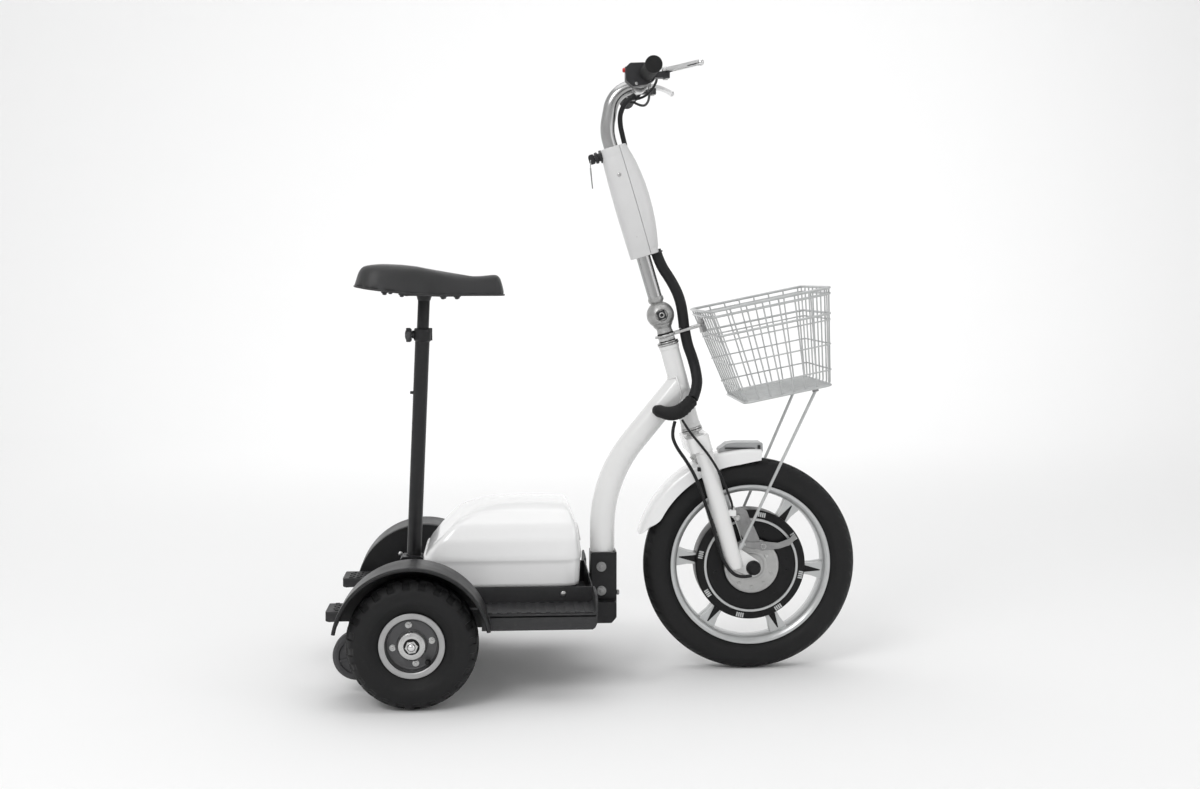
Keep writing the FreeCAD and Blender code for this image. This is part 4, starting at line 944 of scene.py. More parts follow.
    # rear mudguards: rolled arch with a tubular edge on the outside and a pressed inner wall
    for name, s in (("right", -1), ("left", 1)):
        b = Build()
        sect = [(143.4, 197.5), (143.6, 288), (141.0, 292), (140.2, 296), (142.0, 299.2), (145.4, 300), (147.6, 297.5), (148.0, 290),
                (147.6, 280), (147.2, 250), (147.0, 210), (146.0, 200), (143.8, 197)]
        sect = arc_round(sect, 2.2, 3)
        n = len(sect)
        verts, faces = [], []
        a0, a1 = 19.6, 169.6
        steps = 90
        for i in range(steps + 1):
            a = math.radians(a0 + (a1 - a0) * i / steps)
            for r, y in sect:
                verts.append(Vector((r * math.cos(a), y * s, 123 + r * math.sin(a))))
        for i in range(steps):
            for j in range(n):
                j2 = (j + 1) % n
                faces.append([i * n + j, i * n + j2, (i + 1) * n + j2, (i + 1) * n + j])
        faces.append(list(range(n)))
        faces.append([steps * n + j for j in range(n)][::-1])
        b.add(verts, faces, 0)
        toe = arc_round([(143.6, 247.5), (143.6, 288), (141.0, 292), (140.2, 296), (142.0, 299.2), (145.4, 300), (147.6, 297.5),
                         (148.0, 290), (147.6, 280), (147.2, 250), (147.1, 247.5)], 1.2, 3)
        m = len(toe)
        verts, faces = [], []
        for i in range(9):
            a = math.radians(10.5 + 1.2 * i)
            for r, y in toe:
                verts.append(Vector((r * math.cos(a), y * s, 123 + r * math.sin(a))))
        for i in range(8):
            for j in range(m):
                j2 = (j + 1) % m
                faces.append([i * m + j, i * m + j2, (i + 1) * m + j2, (i + 1) * m + j])
        faces.append(list(range(m)))
        faces.append([8 * m + j for j in range(m)][::-1])
        b.add(verts, faces, 0)
        wall = []
        for i in range(61):
            a = math.radians(a0 + 1 + (a1 - a0 - 2) * i / 60)
            wall.append((145.0 * math.cos(a), 123 + 145.0 * math.sin(a)))
        wall = wall + [(-142, 151.5), (8, 151.5), (11, 174.4), (134, 174.4)]
        lo, hi = (197.0, 199.6) if s > 0 else (-199.6, -197.0)
        b.prism(wall, lo, hi, lambda p, q, c: Vector((p, c, q)), 0)
        for x, z in ((-51, 206), (70, 196)):
            b.solid_lathe((x, 197.2 * s, z), (0, -s, 0), [(0, 2.6), (2.6, 2.4), (4.8, 1.2), (5.4, 0), (5.4, -0.4), (0, -0.4)], 24, 1)
        finish_piece(b.mesh("mudguard_" + name), ["guard_black", "steel"], "chassis", bevel=0.4, segs=1,
                     replaces=["rear_fender_" + name])

    # roller arms
    b = Build()
    for s in (-1, 1):
        y0, y1 = sorted((126.0 * s, 132.0 * s))
        b.prism(arc_round([(-92, 152), (-55, 152), (-55, 120), (-100, 62), (-112, 62), (-124, 72), (-118, 92)], 5, 4), y0, y1,
                lambda p, q, c: Vector((p, c, q)), 0)
        b.solid_lathe((-111, 126 * s, 76), (0, s, 0), [(0, 0), (5, 0), (5, 60), (9.5, 42.4), (9.5, 46), (8.4, 47.4), (0, 47.8)], 32, 1)
    finish_piece(b.mesh("roller_arms"), ["black_paint", "steel"], "chassis", bevel=0.9, segs=2,
                 replaces=["antitip_arms"])
    for name, s in (("right", -1), ("left", 1)):
        b = Build()
        prof = arc_round([(5.4, -15), (5.4, 15), (15.5, 15), (16.5, 11.5), (33, 11.5), (35, 15), (41, 15), (46.4, 11.5), (47, 8), (47, 2.4), (45.6, 1.2), (45.6, -1.2), (47, -2.4), (47, -8),
                          (46.4, -11.5), (41, -15), (35, -15), (33, -11.5), (16.5, -11.5), (15.5, -15)], 1.2, 3)
        b.lathe((-111, 153.0 * s, 76), Y_AXIS, prof, 96, 0)
        for k in range(6):
            a = math.radians(60 * k + 15)
            c, sn = math.cos(a), math.sin(a)
            for t0, t1 in ((-14.2, -11), (11, 14.2)):
                b.prism(arc_round([(16, -1.8), (34, -1.8), (34, 1.8), (16, 1.8)], 0.5, 1), t0, t1,
                        lambda p, q, h: Vector((-111 + p * c - q * sn, 153.0 * s + h, 76 + p * sn + q * c)), 0)
        finish_piece(b.mesh("roller_" + name), "roller", "antitip_" + name, bevel=0.0, smooth=35,
                     replaces=["antitip_roller_" + name])

    # frame rails under the deck
    b = Build()
    for s in (-1, 1):
        y0, y1 = sorted((70.0 * s, 100.0 * s))
        b.prism(arc_round([(y0, 112), (y1, 112), (y1, 152), (y0, 152)], 4, 3), -90, 345, lambda p, q, c: Vector((c, p, q)), 0)
    b.prism(arc_round([(300, 112.5), (344.6, 112.5), (344.6, 151.6), (300, 151.6)], 4, 3), -70, 70, lambda p, q, c: Vector((p, c, q)), 0)
    b.prism(arc_round([(-89.6, 122), (-60, 122), (-60, 150), (-89.6, 150)], 4, 3), -126, 126, lambda p, q, c: Vector((p, c, q)), 0)
    for s in (-1, 1):
        b.prism(arc_round([(-30, 111), (30, 111), (36, 131), (26, 151.6), (-26, 151.6), (-36, 131)], 6, 3), *sorted((101.0 * s, 107.0 * s)),
                lambda p, q, c: Vector((p, c, q)), 0)
    finish_piece(b.mesh("under_frame"), "black_paint", "chassis", bevel=0.8, segs=2, replaces=["chassis_frame"])


chassis()


# --------------------------------------------------------------- rear wheels
def rear_wheel(name, s):
    centre = Vector((0, 255.0 * s, 123))
    body = "rear_wheel_" + name
    prof = tyre_profile(60.0, 123.0, 41.0, 56)
    ring = [(r, t) for r, t, a in prof] + [(57.2, 23.5), (57.2, 8), (57.2, -8), (57.2, -23.5)]
    angs = [a for r, t, a in prof] + [None] * 4
    seg = 384

    def tread(i, j, a):
        g = angs[j]
        if g is None:
            return 0.0
        d = abs(g)
        if d < 3.5:
            return -2.6
        if d < 24:
            k = (i + (int(d * 0.25) if g > 0 else -int(d * 0.25)) + (6 if g > 0 else 0)) % 16
            return -3.0 if k < 4 else 0.0
        if d < 28:
            return -3.0
        if d < 74:
            k = (i + (8 if g < 0 else 0)) % 16
            wide = 7 if d < 52 else 8
            if k < wide:
                return -3.4 if d < 62 else -2.2 * (74 - d) / 12.0
            return 0.0
        if 97 < d < 99.5:
            return -0.6
        return 0.0

    b = Build()
    b.lathe(centre, Y_AXIS, ring, seg, 0, tread)
    finish_piece(b.mesh("rear_tyre_skin_" + name), "tyre", body, smooth=40, replaces=["rear_tyre_" + name])

    b = Build()
    out = [(8.2, -32), (8.2, 32.5), (14, 33), (20, 32.2), (25.4, 30.2), (26.6, 27), (26.6, 15.5), (28.5, 13.4), (44, 12.4), (47.2, 14), (48.6, 24), (49.5, 29.2),
           (52, 30.6), (60.5, 30.8), (61.4, 29.4), (60.8, 27), (58, 24.5), (56.4, 18), (56.4, -18), (58, -24.5), (60.8, -27), (61.4, -29.4), (60.5, -30.8), (52, -30.6),
           (49.5, -29.2), (48.6, -20), (46, -6), (27, -5), (26.6, -27), (25.4, -30.2), (20, -32.2), (14, -33)]
    prof = arc_round([(r, t * s) for r, t in out], 1.2, 2)
    b.lathe(centre, Y_AXIS, prof, 120, 0)
    # darker recessed face of the disc
    b.lathe(centre, Y_AXIS, arc_round([(26.9, 16 * s), (28.8, 13.9 * s), (43.9, 12.9 * s), (46.8, 14.4 * s), (48.0, 24 * s),
                                       (48.9, 28.6 * s), (49.3, 28.6 * s), (49.3, 10 * s), (26.9, 10 * s)], 0.6, 2), 120, 3)
    # dark seam between flange and disc
    b.lathe(centre, Y_AXIS, arc_round([(47.4, 12 * s), (50.2, 12 * s), (50.2, 29.7 * s), (49.0, 29.9 * s)], 0.3, 1), 120, 1)
    # steel hub cap and its lip
    b.lathe(centre, Y_AXIS, arc_round([(9, 31 * s), (9, 34.3 * s), (19, 33.8 * s), (24.5, 32.2 * s), (27.2, 28.5 * s), (27.4, 24 * s), (25, 24 * s)], 1.5, 3), 80, 2)
    b.lathe(centre, Y_AXIS, arc_round([(9.4, 33 * s), (15.0, 33.4 * s), (15.0, 35.2 * s), (9.4, 35.6 * s)], 0.4, 1), 60, 1)
    for k in range(4):
        a = math.radians(90 * k + 100)
        c = centre + Vector((36.5 * math.cos(a), 12.6 * s, 36.5 * math.sin(a)))
        b.lathe(c, (0, s, 0), arc_round([(2.5, 0), (6.4, 0), (6.4, 1.1), (2.5, 1.1)], 0.3, 1), 28, 2)
        b.prism(hexagon(5.4, 20), 1.0, 4.4, lambda p, q, h: c + Vector((p, h * s, q)), 2)
        b.solid_lathe(c, (0, s, 0), [(0, 6.6), (2.2, 6.4), (2.8, 5.6), (2.8, 0.5), (0, 0.5)], 20, 2)
    v = math.radians(-48)
    c = centre + Vector((42.0 * math.cos(v), 0, 42.0 * math.sin(v)))
    d = Vector((math.cos(v), 0, math.sin(v)))
    b.sweep([c + Vector((0, 11 * s, 0)) + d * 4, c + Vector((0, 15 * s, 0)) + d * 2, c + Vector((0, 22 * s, 0)), c + Vector((0, 26.5 * s, 0))],
            [4.4, 4.0, 3.6, 3.6], 20, 1)
    b.sweep([c + Vector((0, 25.5 * s, 0)), c + Vector((0, 30.5 * s, 0))], [4.3, 4.0], 20, 1)
    finish_piece(b.mesh("rear_rim_disc_" + name), ["rim_grey", "rubber", "steel", "disc_grey"], body, bevel=0.4, segs=2,
                 replaces=["rear_rim_" + name])


rear_wheel("right", -1)
rear_wheel("left", 1)


# --------------------------------------------------------------- frame-side details: seat
SEAT_FOOT = Vector((-13.9, 0.0, 168.2))
LEAN = math.radians(2.73)
SEAT_DIR = Vector((math.sin(LEAN), 0.0, math.cos(LEAN)))
SEAT_U = Vector((math.cos(LEAN), 0.0, -math.sin(LEAN)))


def on_post(t, u=0.0, y=0.0):
    p = SEAT_FOOT + SEAT_DIR * t + SEAT_U * u
    return Vector((p.x, y, p.z))


SEAT_BASE = on_post(597.5).z + 3.0


def seat_parts():
    b = Build()
    b.prism(arc_round([(-38, 168), (10, 168), (10, 236), (4, 240), (-32, 240), (-38, 234)], 3, 3), -24, 24,
            lambda p, q, c: Vector((p, c, q)), 0)
    b.prism(arc_round([(-44, -32), (16, -32), (16, 32), (-44, 32)], 5, 4), 168.0, 172.5, lambda p, q, c: Vector((p, q, c)), 0)
    for s in (-1, 1):
        b.sweep([(-36, 24.4 * s, 172.5), (-14, 24.4 * s, 172.5), (8, 24.4 * s, 172.5)], 1.6, 10, 0)
    b.lathe(on_post(70.0), SEAT_DIR, arc_round([(14.6, -2), (17.0, -2), (16.0, 3.5), (14.6, 4)], 0.8, 2), 48, 0)
    finish_piece(b.mesh("seat_mount_block"), "black_paint", "chassis", bevel=1.4, segs=3, replaces=["seat_socket"])

    b = Build()
    b.lathe(on_post(0), SEAT_DIR, arc_round([(12.2, 2), (14.5, 2), (14.5, 503), (16.6, 504.5), (17.6, 508), (17.6, 524), (16.8, 527.5), (15.6, 529), (12.2, 529)],
                                            0.8, 3), 64, 0)
    kn = on_post(516, -17.0)
    b.solid_lathe(kn, -Vector((1, 0, 0)), [(0, 4.4), (3.2, 4.4), (7.4, 4.0), (8.0, 3.2), (8.0, -2), (0, -2)], 36, 0)
    # split of the clamp collar and its retaining pin lower down
    b.box(kn.x + 29.5, kn.x + 36.2, -1.0, 1.0, kn.z - 12, kn.z + 13, 1)
    pin = on_post(400, -14.0)
    b.solid_lathe(pin, (-1, 0, 0), [(0, 6.5), (2.2, 6.4), (3.0, 5.4), (3.0, -1), (0, -1)], 20, 1)
    finish_piece(b.mesh("lower_seat_tube"), ["guard_black", "plastic"], "chassis", smooth=35, replaces=["seat_tube"])

    b = Build()
    b.lathe(on_post(0), SEAT_DIR, arc_round([(9.5, 330), (11.9, 330), (11.9, 592), (9.5, 592)], 0.5, 2), 56, 0)
    b.lathe(on_post(0), SEAT_DIR, arc_round([(11.8, 584), (12.6, 585), (15.4, 594), (11.8, 596)], 0.8, 3), 56, 0)
    b.prism(arc_round([(-25, -24), (60, -24), (60, 24), (-25, 24)], 8, 5), SEAT_BASE - 6.6, SEAT_BASE - 0.2,
            lambda p, q, c: Vector((p, q, c)), 0)
    for t in (350, 375, 400, 425, 450, 475, 500):
        b.lathe(on_post(t), SEAT_DIR, arc_round([(11.85, -0.4), (12.0, -0.3), (12.0, 0.3), (11.85, 0.4)], 0.1, 1), 56, 0)
    finish_piece(b.mesh("inner_seat_post"), "guard_black", "seat", smooth=35, replaces=["seat_post"])

    b = Build()
    k = on_post(516)
    b.sweep([(k.x - 13.2, 0, k.z), (k.x - 25, 0, k.z)], 2.9, 20, 1)
    lobes = []
    n = 84
    for i in range(n):
        a = 2 * math.pi * i / n
        r = 13.2 + 1.3 * math.cos(7 * a)
        lobes.append((r * math.cos(a), r * math.sin(a)))
    b.prism([(p * 0.90, q * 0.90) for p, q in lobes], -24.0, -21.8, lambda p, q, c: Vector((k.x + c, p, k.z + q)), 0)
    b.prism(lobes, -32.6, -23.8, lambda p, q, c: Vector((k.x + c, p, k.z + q)), 0)
    b.solid_lathe((k.x - 32.4, 0, k.z), (-1, 0, 0), [(0, 2.6), (5, 2.4), (8.6, 1.4), (10.4, 0), (0, 0)], 40, 0)
    finish_piece(b.mesh("clamp_knob"), ["roller", "steel"], "seat_clamp", bevel=1.0, segs=3, replaces=["seat_knob"])


seat_parts()


def interp(table, x):
    if x <= table[0][0]:
        return table[0][1]
    for (a, p), (c, q) in zip(table, table[1:]):
        if x <= c:
            t = (x - a) / (c - a)
            t = t * t * (3 - 2 * t) * 0.35 + t * 0.65
            return p + (q - p) * t
    return table[-1][1]


def saddle():
    plan = [(-123, 30), (-122, 62), (-117, 84), (-103, 101), (-86, 108), (-66, 110), (-40, 109), (-17, 104.5), (3, 94), (18, 80),
            (30, 66), (44, 53), (62, 45), (86, 40), (112, 36.5), (134, 33.5), (152, 31.5), (165, 27), (171, 15)]
    plan = [(a + 3.0, c) for a, c in plan]
    out = [(-121, 0)] + plan + [(175, 0)] + [(a, -c) for a, c in plan[::-1]]
    line = nurbs([(a, c, 0) for a, c in out], 6, closed=True)
    top = [(-122, 46), (-112, 50.5), (-100, 53.5), (-70, 55.5), (-33, 54), (-8, 52), (10, 49.5), (28, 45.8), (45, 41.8), (62, 38.4), (84, 34.8),
           (108, 32.2), (124, 32.2), (140, 34), (154, 36.4), (164, 37), (172, 36)]
    top = [(a + 2.5, h) for a, h in top]
    bot = [(-124, 13.5), (-108, 10.5), (-92, 7.8), (-76, 5.6), (-60, 3.6), (-40, 1.4), (-20, -1.0), (0, -3.0), (20, -4.6), (44, -5.6),
           (172, -5.6)]
    rings = [(0.0, 0.0), (0.6, 0.05), (2.4, 0.16), (5.0, 0.34), (8.0, 0.54), (11.5, 0.72), (15.5, 0.85), (20.5, 0.935), (27, 0.975),
             (36, 0.992), (48, 1.0)]
    verts, faces = [], []
    n = len(line)

    def ring(fn):
        row = []
        for p in line:
            row.append(len(verts))
            verts.append(fn(p))
        return row

    def base_of(p):
        c = Vector((max(-52.0, min(134.0, p.x)), 0, 0))
        return c, (Vector((p.x, p.y, 0)) - c)

    def make(d, g):
        def fn(p):
            c, v = base_of(p)
            m = min(1.0, v.length / 62.0)
            s = max(0.0, 1.0 - d * m / max(1e-6, v.length))
            q = c + v * s
            h = interp(top, q.x)
            # shallow valley down the middle of the wide rear part
            dip = 2.2 * math.exp(-(q.y / 16.0) ** 2) * max(0.0, min(1.0, (60 - q.x) / 120.0))
            return Vector((q.x, q.y, SEAT_BASE + interp(bot, q.x) * (1.0 - g) + h * g - dip * g ** 6))
        return fn

    def inner(f):
        def fn(p):
            c, v = base_of(p)
            m = min(1.0, v.length / 62.0)
            s = max(0.0, 1.0 - 48 * m / max(1e-6, v.length)) * f
            q = c + v * s
            h = interp(top, q.x)
            dip = 2.2 * math.exp(-(q.y / 16.0) ** 2) * max(0.0, min(1.0, (60 - q.x) / 120.0))
            return Vector((q.x, q.y, SEAT_BASE + h - dip))
        return fn

    rows = [ring(make(d, g)) for d, g in rings] + [ring(inner(f)) for f in (0.75, 0.5, 0.25, 0.0)]
    under = []
    for inset, z in ((3.0, -1.0), (8, 1.5), (12, 3.0), (30, 3.2)):
        def fn(p, inset=inset, z=z):
            c, v = base_of(p)
            m = min(1.0, v.length / 62.0)
            s = max(0.0, 1.0 - inset * m / max(1e-6, v.length))
            q = c + v * s
            return Vector((q.x, q.y, SEAT_BASE + interp(bot, q.x) + z))
        under.append(ring(fn))
    under.append(ring(lambda p: Vector((base_of(p)[0].x, 0, SEAT_BASE + interp(bot, base_of(p)[0].x) + 3.2))))
    order = under[::-1] + rows
    for r1, r2 in zip(order, order[1:]):
        for i in range(n):
            j = (i + 1) % n
            faces.append([r1[i], r1[j], r2[j], r2[i]])
    b = Build()
    b.add(verts, faces, 0)
    ob = b.mesh("saddle_pad")
    bm = bmesh.new()
    bm.from_mesh(ob.data)
    bmesh.ops.remove_doubles(bm, verts=bm.verts, dist=2e-5)
    bmesh.ops.dissolve_degenerate(bm, edges=bm.edges, dist=1e-6)
    bmesh.ops.recalc_face_normals(bm, faces=bm.faces)
    bm.to_mesh(ob.data)
    bm.free()
    # stretched vinyl over foam: a short pressure run, held along its lower edge
    rm = ob.modifiers.new("voxel", "REMESH")
    rm.mode = "VOXEL"
    rm.voxel_size = 0.0042
    dg = bpy.context.evaluated_depsgraph_get()
    me = bpy.data.meshes.new_from_object(ob.evaluated_get(dg))
    ob.modifiers.clear()
    ob.data = me
    before = [v.co.copy() for v in me.vertices]
    pins = ob.vertex_groups.new(name="held")
    ox = P(0, 0, 0).x
    for v in me.vertices:
        low = (SEAT_BASE + interp(bot, (v.co.x - ox) * 1000.0)) / 1000.0
        w = 1.0 if v.co.z < low + 0.007 else max(0.0, 1.0 - (v.co.z - low - 0.007) / 0.012)
        if w > 0:
            pins.add([v.index], w, "REPLACE")
    cl = ob.modifiers.new("cloth", "CLOTH")
    st = cl.settings
    st.quality = 5
    st.mass = 0.3
    st.tension_stiffness = st.compression_stiffness = 30
    st.shear_stiffness = 20
    st.bending_stiffness = 8
    st.vertex_group_mass = "held"
    st.pin_stiffness = 1.0
    st.use_pressure = True
    st.uniform_pressure_force = 3.0
    st.effector_weights.gravity = 0.0
    cl.collision_settings.use_collision = False
    cl.point_cache.frame_start, cl.point_cache.frame_end = 1, 20
    for f in range(1, 16):
        scene.frame_set(f)
    dg = bpy.context.evaluated_depsgraph_get()
    ev = ob.evaluated_get(dg)
    moved = [v.co.copy() for v in ev.data.vertices]
    ob.modifiers.clear()
    scene.frame_set(1)
    cap = 0.0035
    for v, a, c in zip(ob.data.vertices, before, moved):
        d = c - a
        if d.length > cap:
            d = d.normalized() * cap
        v.co = a + d
    ob.vertex_groups.clear()
    sm = ob.modifiers.new("ease", "SMOOTH")
    sm.factor = 0.5
    sm.iterations = 4
    finish_piece(ob, "vinyl", "seat", smooth=None, subsurf=1, replaces=["saddle"])

    # rolled hem along the lower edge, base board and its screws
    b = Build()
    hem = []
    for p in line[::2]:
        c, v = base_of(p)
        q = c + v * (1.0 - 1.5 / max(1.0, v.length))
        hem.append(Vector((q.x, q.y, SEAT_BASE + interp(bot, q.x) + 0.8)))
    b.sweep(hem, 2.0, 10, 0, closed=True, ref=(0, 0, 1))
    board = []
    for p in line[::3]:
        c, v = base_of(p)
        q = c + v * (1.0 - 12.0 * min(1.0, v.length / 62.0) / max(1.0, v.length))
        board.append((q.x, q.y))
    b.prism(board, -1.0, 3.6, lambda p, q, c: Vector((p, q, SEAT_BASE + interp(bot, p) + c)), 1)
    for x, y in ((-58, 78), (-25, 74), (53, 30), (80, 26)):
        for s in (-1, 1):
            z = SEAT_BASE + interp(bot, x) - 0.8
            b.solid_lathe((x, y * s, z), (0, 0, -1), [(0, 7.0), (2.6, 6.8), (4.2, 5.6), (4.4, 3.2), (6.4, 3.0), (6.6, 0), (0, 0)], 20, 1)
    for s in (-1, 1):
        strip = [(-70 + 6.0 * i, 34.0 - 0.56 * i) for i in range(27)]
        edge = [(x, y - 9.0) for x, y in strip[::-1]]
        b.prism(strip + edge, -2.6, -0.6, lambda p, q, c: Vector((p, q * s, SEAT_BASE + interp(bot, p) + c)), 1)
    finish_piece(b.mesh("saddle_base"), ["vinyl", "plastic"], "seat", bevel=0.5, segs=2)


saddle()


# --------------------------------------------------------------- folding joint, stem, bars
def on_stem(t, a=0.0, y=0.0):
    p = PIVOT + STEM_DIR * t + STEM_ACROSS * a
    return Vector((p.x, y, p.z))


def stem_group():
    b = Build()
    for s in (-1, 1):
        prof = [(0, 19.0 * s), (11.6, 19.0 * s), (12.4, 25.0 * s)]
        for i in range(13):
            a = math.radians(63.5 - i * 3.55)
            prof.append((28 * math.cos(a), 28 * math.sin(a) * s))
        prof.append((math.sqrt(28 ** 2 - 10.4 ** 2), 10.4 * s))
        prof.append((25.0, 10.0 * s))
        prof.append((0, 10.0 * s))
        b.solid_lathe(PIVOT, Y_AXIS, prof, 96, 0)
    neck = arc_round([(0.5, 198.3), (15.5, 198.3), (16.2, 200), (15.2, 204), (15.6, 209), (20, 215), (20, 217), (0.5, 217)], 1, 3)
    b.lathe(sp(0), AX, neck, 64, 0)
    finish_piece(b.mesh("fold_ball_lower"), ["alloy"], "fork_assembly", bevel=0.5, segs=2, replaces=["fold_yoke"])
    b = Build()
    for s in (-1, 1):
        c = PIVOT + Vector((0, 19.0 * s, 0))
        b.prism(arc_round([(-8.2, -8.2), (8.2, -8.2), (8.2, 8.2), (-8.2, 8.2)], 1.5, 3), 0.2, 5.4,
                lambda p, q, h: c + Vector((p * .93 - q * .36, h * s, q * .93 + p * .36)), 0)
        b.lathe(c, (0, s, 0), arc_round([(3.4, 5), (5.6, 5), (5.6, 8.0), (4.8, 8.8), (3.4, 8.8)], 0.5, 2), 32, 1)
        b.prism(hexagon(3.6), 4.8, 6.4, lambda p, q, h: c + Vector((p, h * s, q)), 0)
    b.sweep([PIVOT + Vector((0, -19, 0)), PIVOT + Vector((0, 19, 0))], 4.95, 28, 1)
    finish_piece(b.mesh("fold_pin_bolt"), ["plastic", "steel"], "fork_assembly", bevel=0.5, segs=2, replaces=["fold_pin"])

    b = Build()
    prof = [(5.1, -9.5), (24, -9.5), (27.2, -8.8), (27.5, -4), (27.6, 0), (27.5, 4), (27.2, 8.8), (24, 9.5), (5.1, 9.5)]
    b.lathe(PIVOT, Y_AXIS, prof, 96, 1)
    b.sweep([on_stem(t) for t in (14, 20, 25, 29, 33, 37)], [9.2, 9.4, 12.5, 15.6, 16.2, 15.2], 44, 1)
    path = fillet_path([tuple(on_stem(30)), (378, 0, 1088), (392, 0, 1164), (443, 0, 1180)], [0, 90.0, 52.0, 0], 3.5)
    b.sweep(path, 14.3, 56, 0)
    b.lathe((443, 0, 1180), Y_AXIS, arc_round([(11.1, -21), (16.4, -21), (17.2, -18), (17.2, 18), (16.4, 21), (11.1, 21)], 1.2, 3), 64, 0)
    b.prism(arc_round([(456, 1173), (466, 1173), (466, 1187), (456, 1187)], 2, 3), -16, 16, lambda p, q, c: Vector((p, c, q)), 0)
    for y in (-9, 9):
        b.solid_lathe((461, y, 1187), (0, 0, 1), [(0, 4.4), (2.4, 4.4), (4.2, 4.0), (4.6, 0), (0, 0)], 20, 2)
    finish_piece(b.mesh("swan_neck"), ["brushed", "alloy", "steel"], "stem", smooth=45, replaces=["stem_tube"])

    b = Build()
    b.lathe((443, 0, 1180), Y_AXIS, arc_round([(9.2, -287.5), (11, -287.5), (11, 287.5), (9.2, 287.5)], 0.5, 2), 56, 0)
    finish_piece(b.mesh("bar_tube"), "brushed", "stem", smooth=40, replaces=["handlebar"])

    # two-part post cover
    secs = [(122.0, 25.4, 32.4, 24.4), (124.0, 26.0, 33.0, 25.0), (133, 26.0, 33.6, 25.2), (135.0, 26.2, 35.0, 26.4), (160.0, 26.6, 40.0, 29.0), (185, 26.9, 43.6, 31.4),
            (210.0, 27.0, 45.6, 32.8), (236, 26.9, 46.2, 33.2), (262.0, 26.5, 45.4, 32.6), (286, 25.9, 43.0, 31.0), (310.0, 25.0, 39.4, 28.8), (327.0, 24.2, 35.2, 26.8),
            (329.0, 23.6, 34.6, 26.2), (331, 23.6, 34.2, 26.2), (345.0, 23.0, 30.6, 25.0), (347.6, 22.2, 29.6, 24.2)]
    for which, name in ((1, "front"), (-1, "rear")):
        b = Build()
        split = 14.6
        verts, faces, m = [], [], 60
        for t, back, front, half in secs:
            cc, a, hb = (front - back) / 2, (front + back) / 2, half
            # angle where the section meets the split plane
            x = (split + 0.35 * which - cc) / a
            w0 = math.acos(max(-1.0, min(1.0, abs(x) ** (1 / 0.72) * (1 if x > 0 else -1))))
            row = []
            for i in range(m + 1):
                w = -w0 + 2 * w0 * i / m if which > 0 else w0 + (2 * math.pi - 2 * w0) * i / m
                px = math.copysign(abs(math.cos(w)) ** 0.72, math.cos(w)) * a
                py = math.copysign(abs(math.sin(w)) ** 0.72, math.sin(w)) * hb
                row.append(on_stem(t, cc + px, py))
            verts += row
        n = m + 1
        for i in range(len(secs) - 1):
            for j in range(n):
                j2 = (j + 1) % n
                faces.append([i * n + j, i * n + j2, (i + 1) * n + j2, (i + 1) * n + j])
        faces.append(list(range(n)))
        faces.append([(len(secs) - 1) * n + j for j in range(n)][::-1])
        b.add(verts, faces, 0)
        if which < 0:
            for t in (165, 290):
                for s in (-1, 1):
                    y = 28.0 if t == 165 else 30.4
                    b.solid_lathe(on_stem(t, -2.0, (y - 1.0) * s), (0, s, 0), [(0, 2.0), (2.2, 2.0), (3.9, 1.6), (4.3, 0.6), (4.3, -2), (0, -2)], 24, 1)
        else:
            b.lathe(on_stem(122, 27.5), -STEM_DIR, arc_round([(11.0, -2.0), (13.4, -1.5), (13.4, 1.2), (11.0, 1.5)], 0.6, 2), 40, 2)
        finish_piece(b.mesh("post_shell_" + name), ["grey_shell", "steel", "plastic"], "stem", bevel=0.7, segs=2, smooth=30,
                     replaces=["post_cover_" + name])

    # ignition lock
    back = -STEM_ACROSS
    base = on_stem(336, 0)
    b = Build()
    b.solid_lathe(base + back * 15.5, back, [(0, 0), (8, 0), (8, 15.0), (10.6, 15.4), (11.4, 17.0), (11.4, 20.0), (10.4, 21.4), (6.0, 21.6), (5.2, 20.6), (0, 20.6)], 48, 0)
    b.prism(hexagon(13.0), 6.4, 11.6, lambda p, q, c: base + back * (15.5 + c) + STEM_DIR * p + Vector((0, q, 0)), 0)
    finish_piece(b.mesh("ignition_lock"), "plastic", "stem", bevel=0.6, segs=2, replaces=["key_switch"])
    b = Build()
    b.prism([(-3, -1.0), (3, -1.0), (3, 1.0), (-3, 1.0)], 26, 41, lambda p, q, c: base + back * c + STEM_DIR * p + Vector((0, q, 0)), 1)
    bow = arc_round([(-10, 39), (-10, 47), (-6, 50), (6, 50), (10, 47), (10, 39), (4, 37), (-4, 37)], 3, 4)
    b.prism(bow, -1.6, 1.6, lambda p, q, c: base + back * q + STEM_DIR * p + Vector((0, c, 0)), 0)
    finish_piece(b.mesh("ignition_key_bow"), ["plastic", "steel"], "ignition_key", bevel=0.7, segs=2, replaces=["key"])
    # key ring and spare key that hang from it
    b = Build()
    rc = base + back * 46.5 + Vector((0, 0, -8.0))
    ring = [rc + Vector((0, 8.6 * math.sin(2 * math.pi * i / 40), 8.6 * math.cos(2 * math.pi * i / 40))) for i in range(40)]
    b.sweep(ring, 0.8, 8, 1, closed=True, ref=(1, 0, 0))
    kx, kz = rc.x, rc.z - 8.6
    tag = arc_round([(-5.5, 1), (5.5, 1), (7.0, -8), (4.5, -14), (2.8, -15), (2.8, -38), (0, -41), (-2.8, -38), (-2.8, -15), (-4.5, -14), (-7.0, -8)], 1.5, 3)
    b.prism(tag, -1.0, 1.0, lambda p, q, c: Vector((kx + c * 1.1 + (-q) * 0.10, p, kz + q)), 0)
    finish_piece(b.mesh("spare_key"), ["forged", "steel"], "stem", bevel=0.35, segs=2)

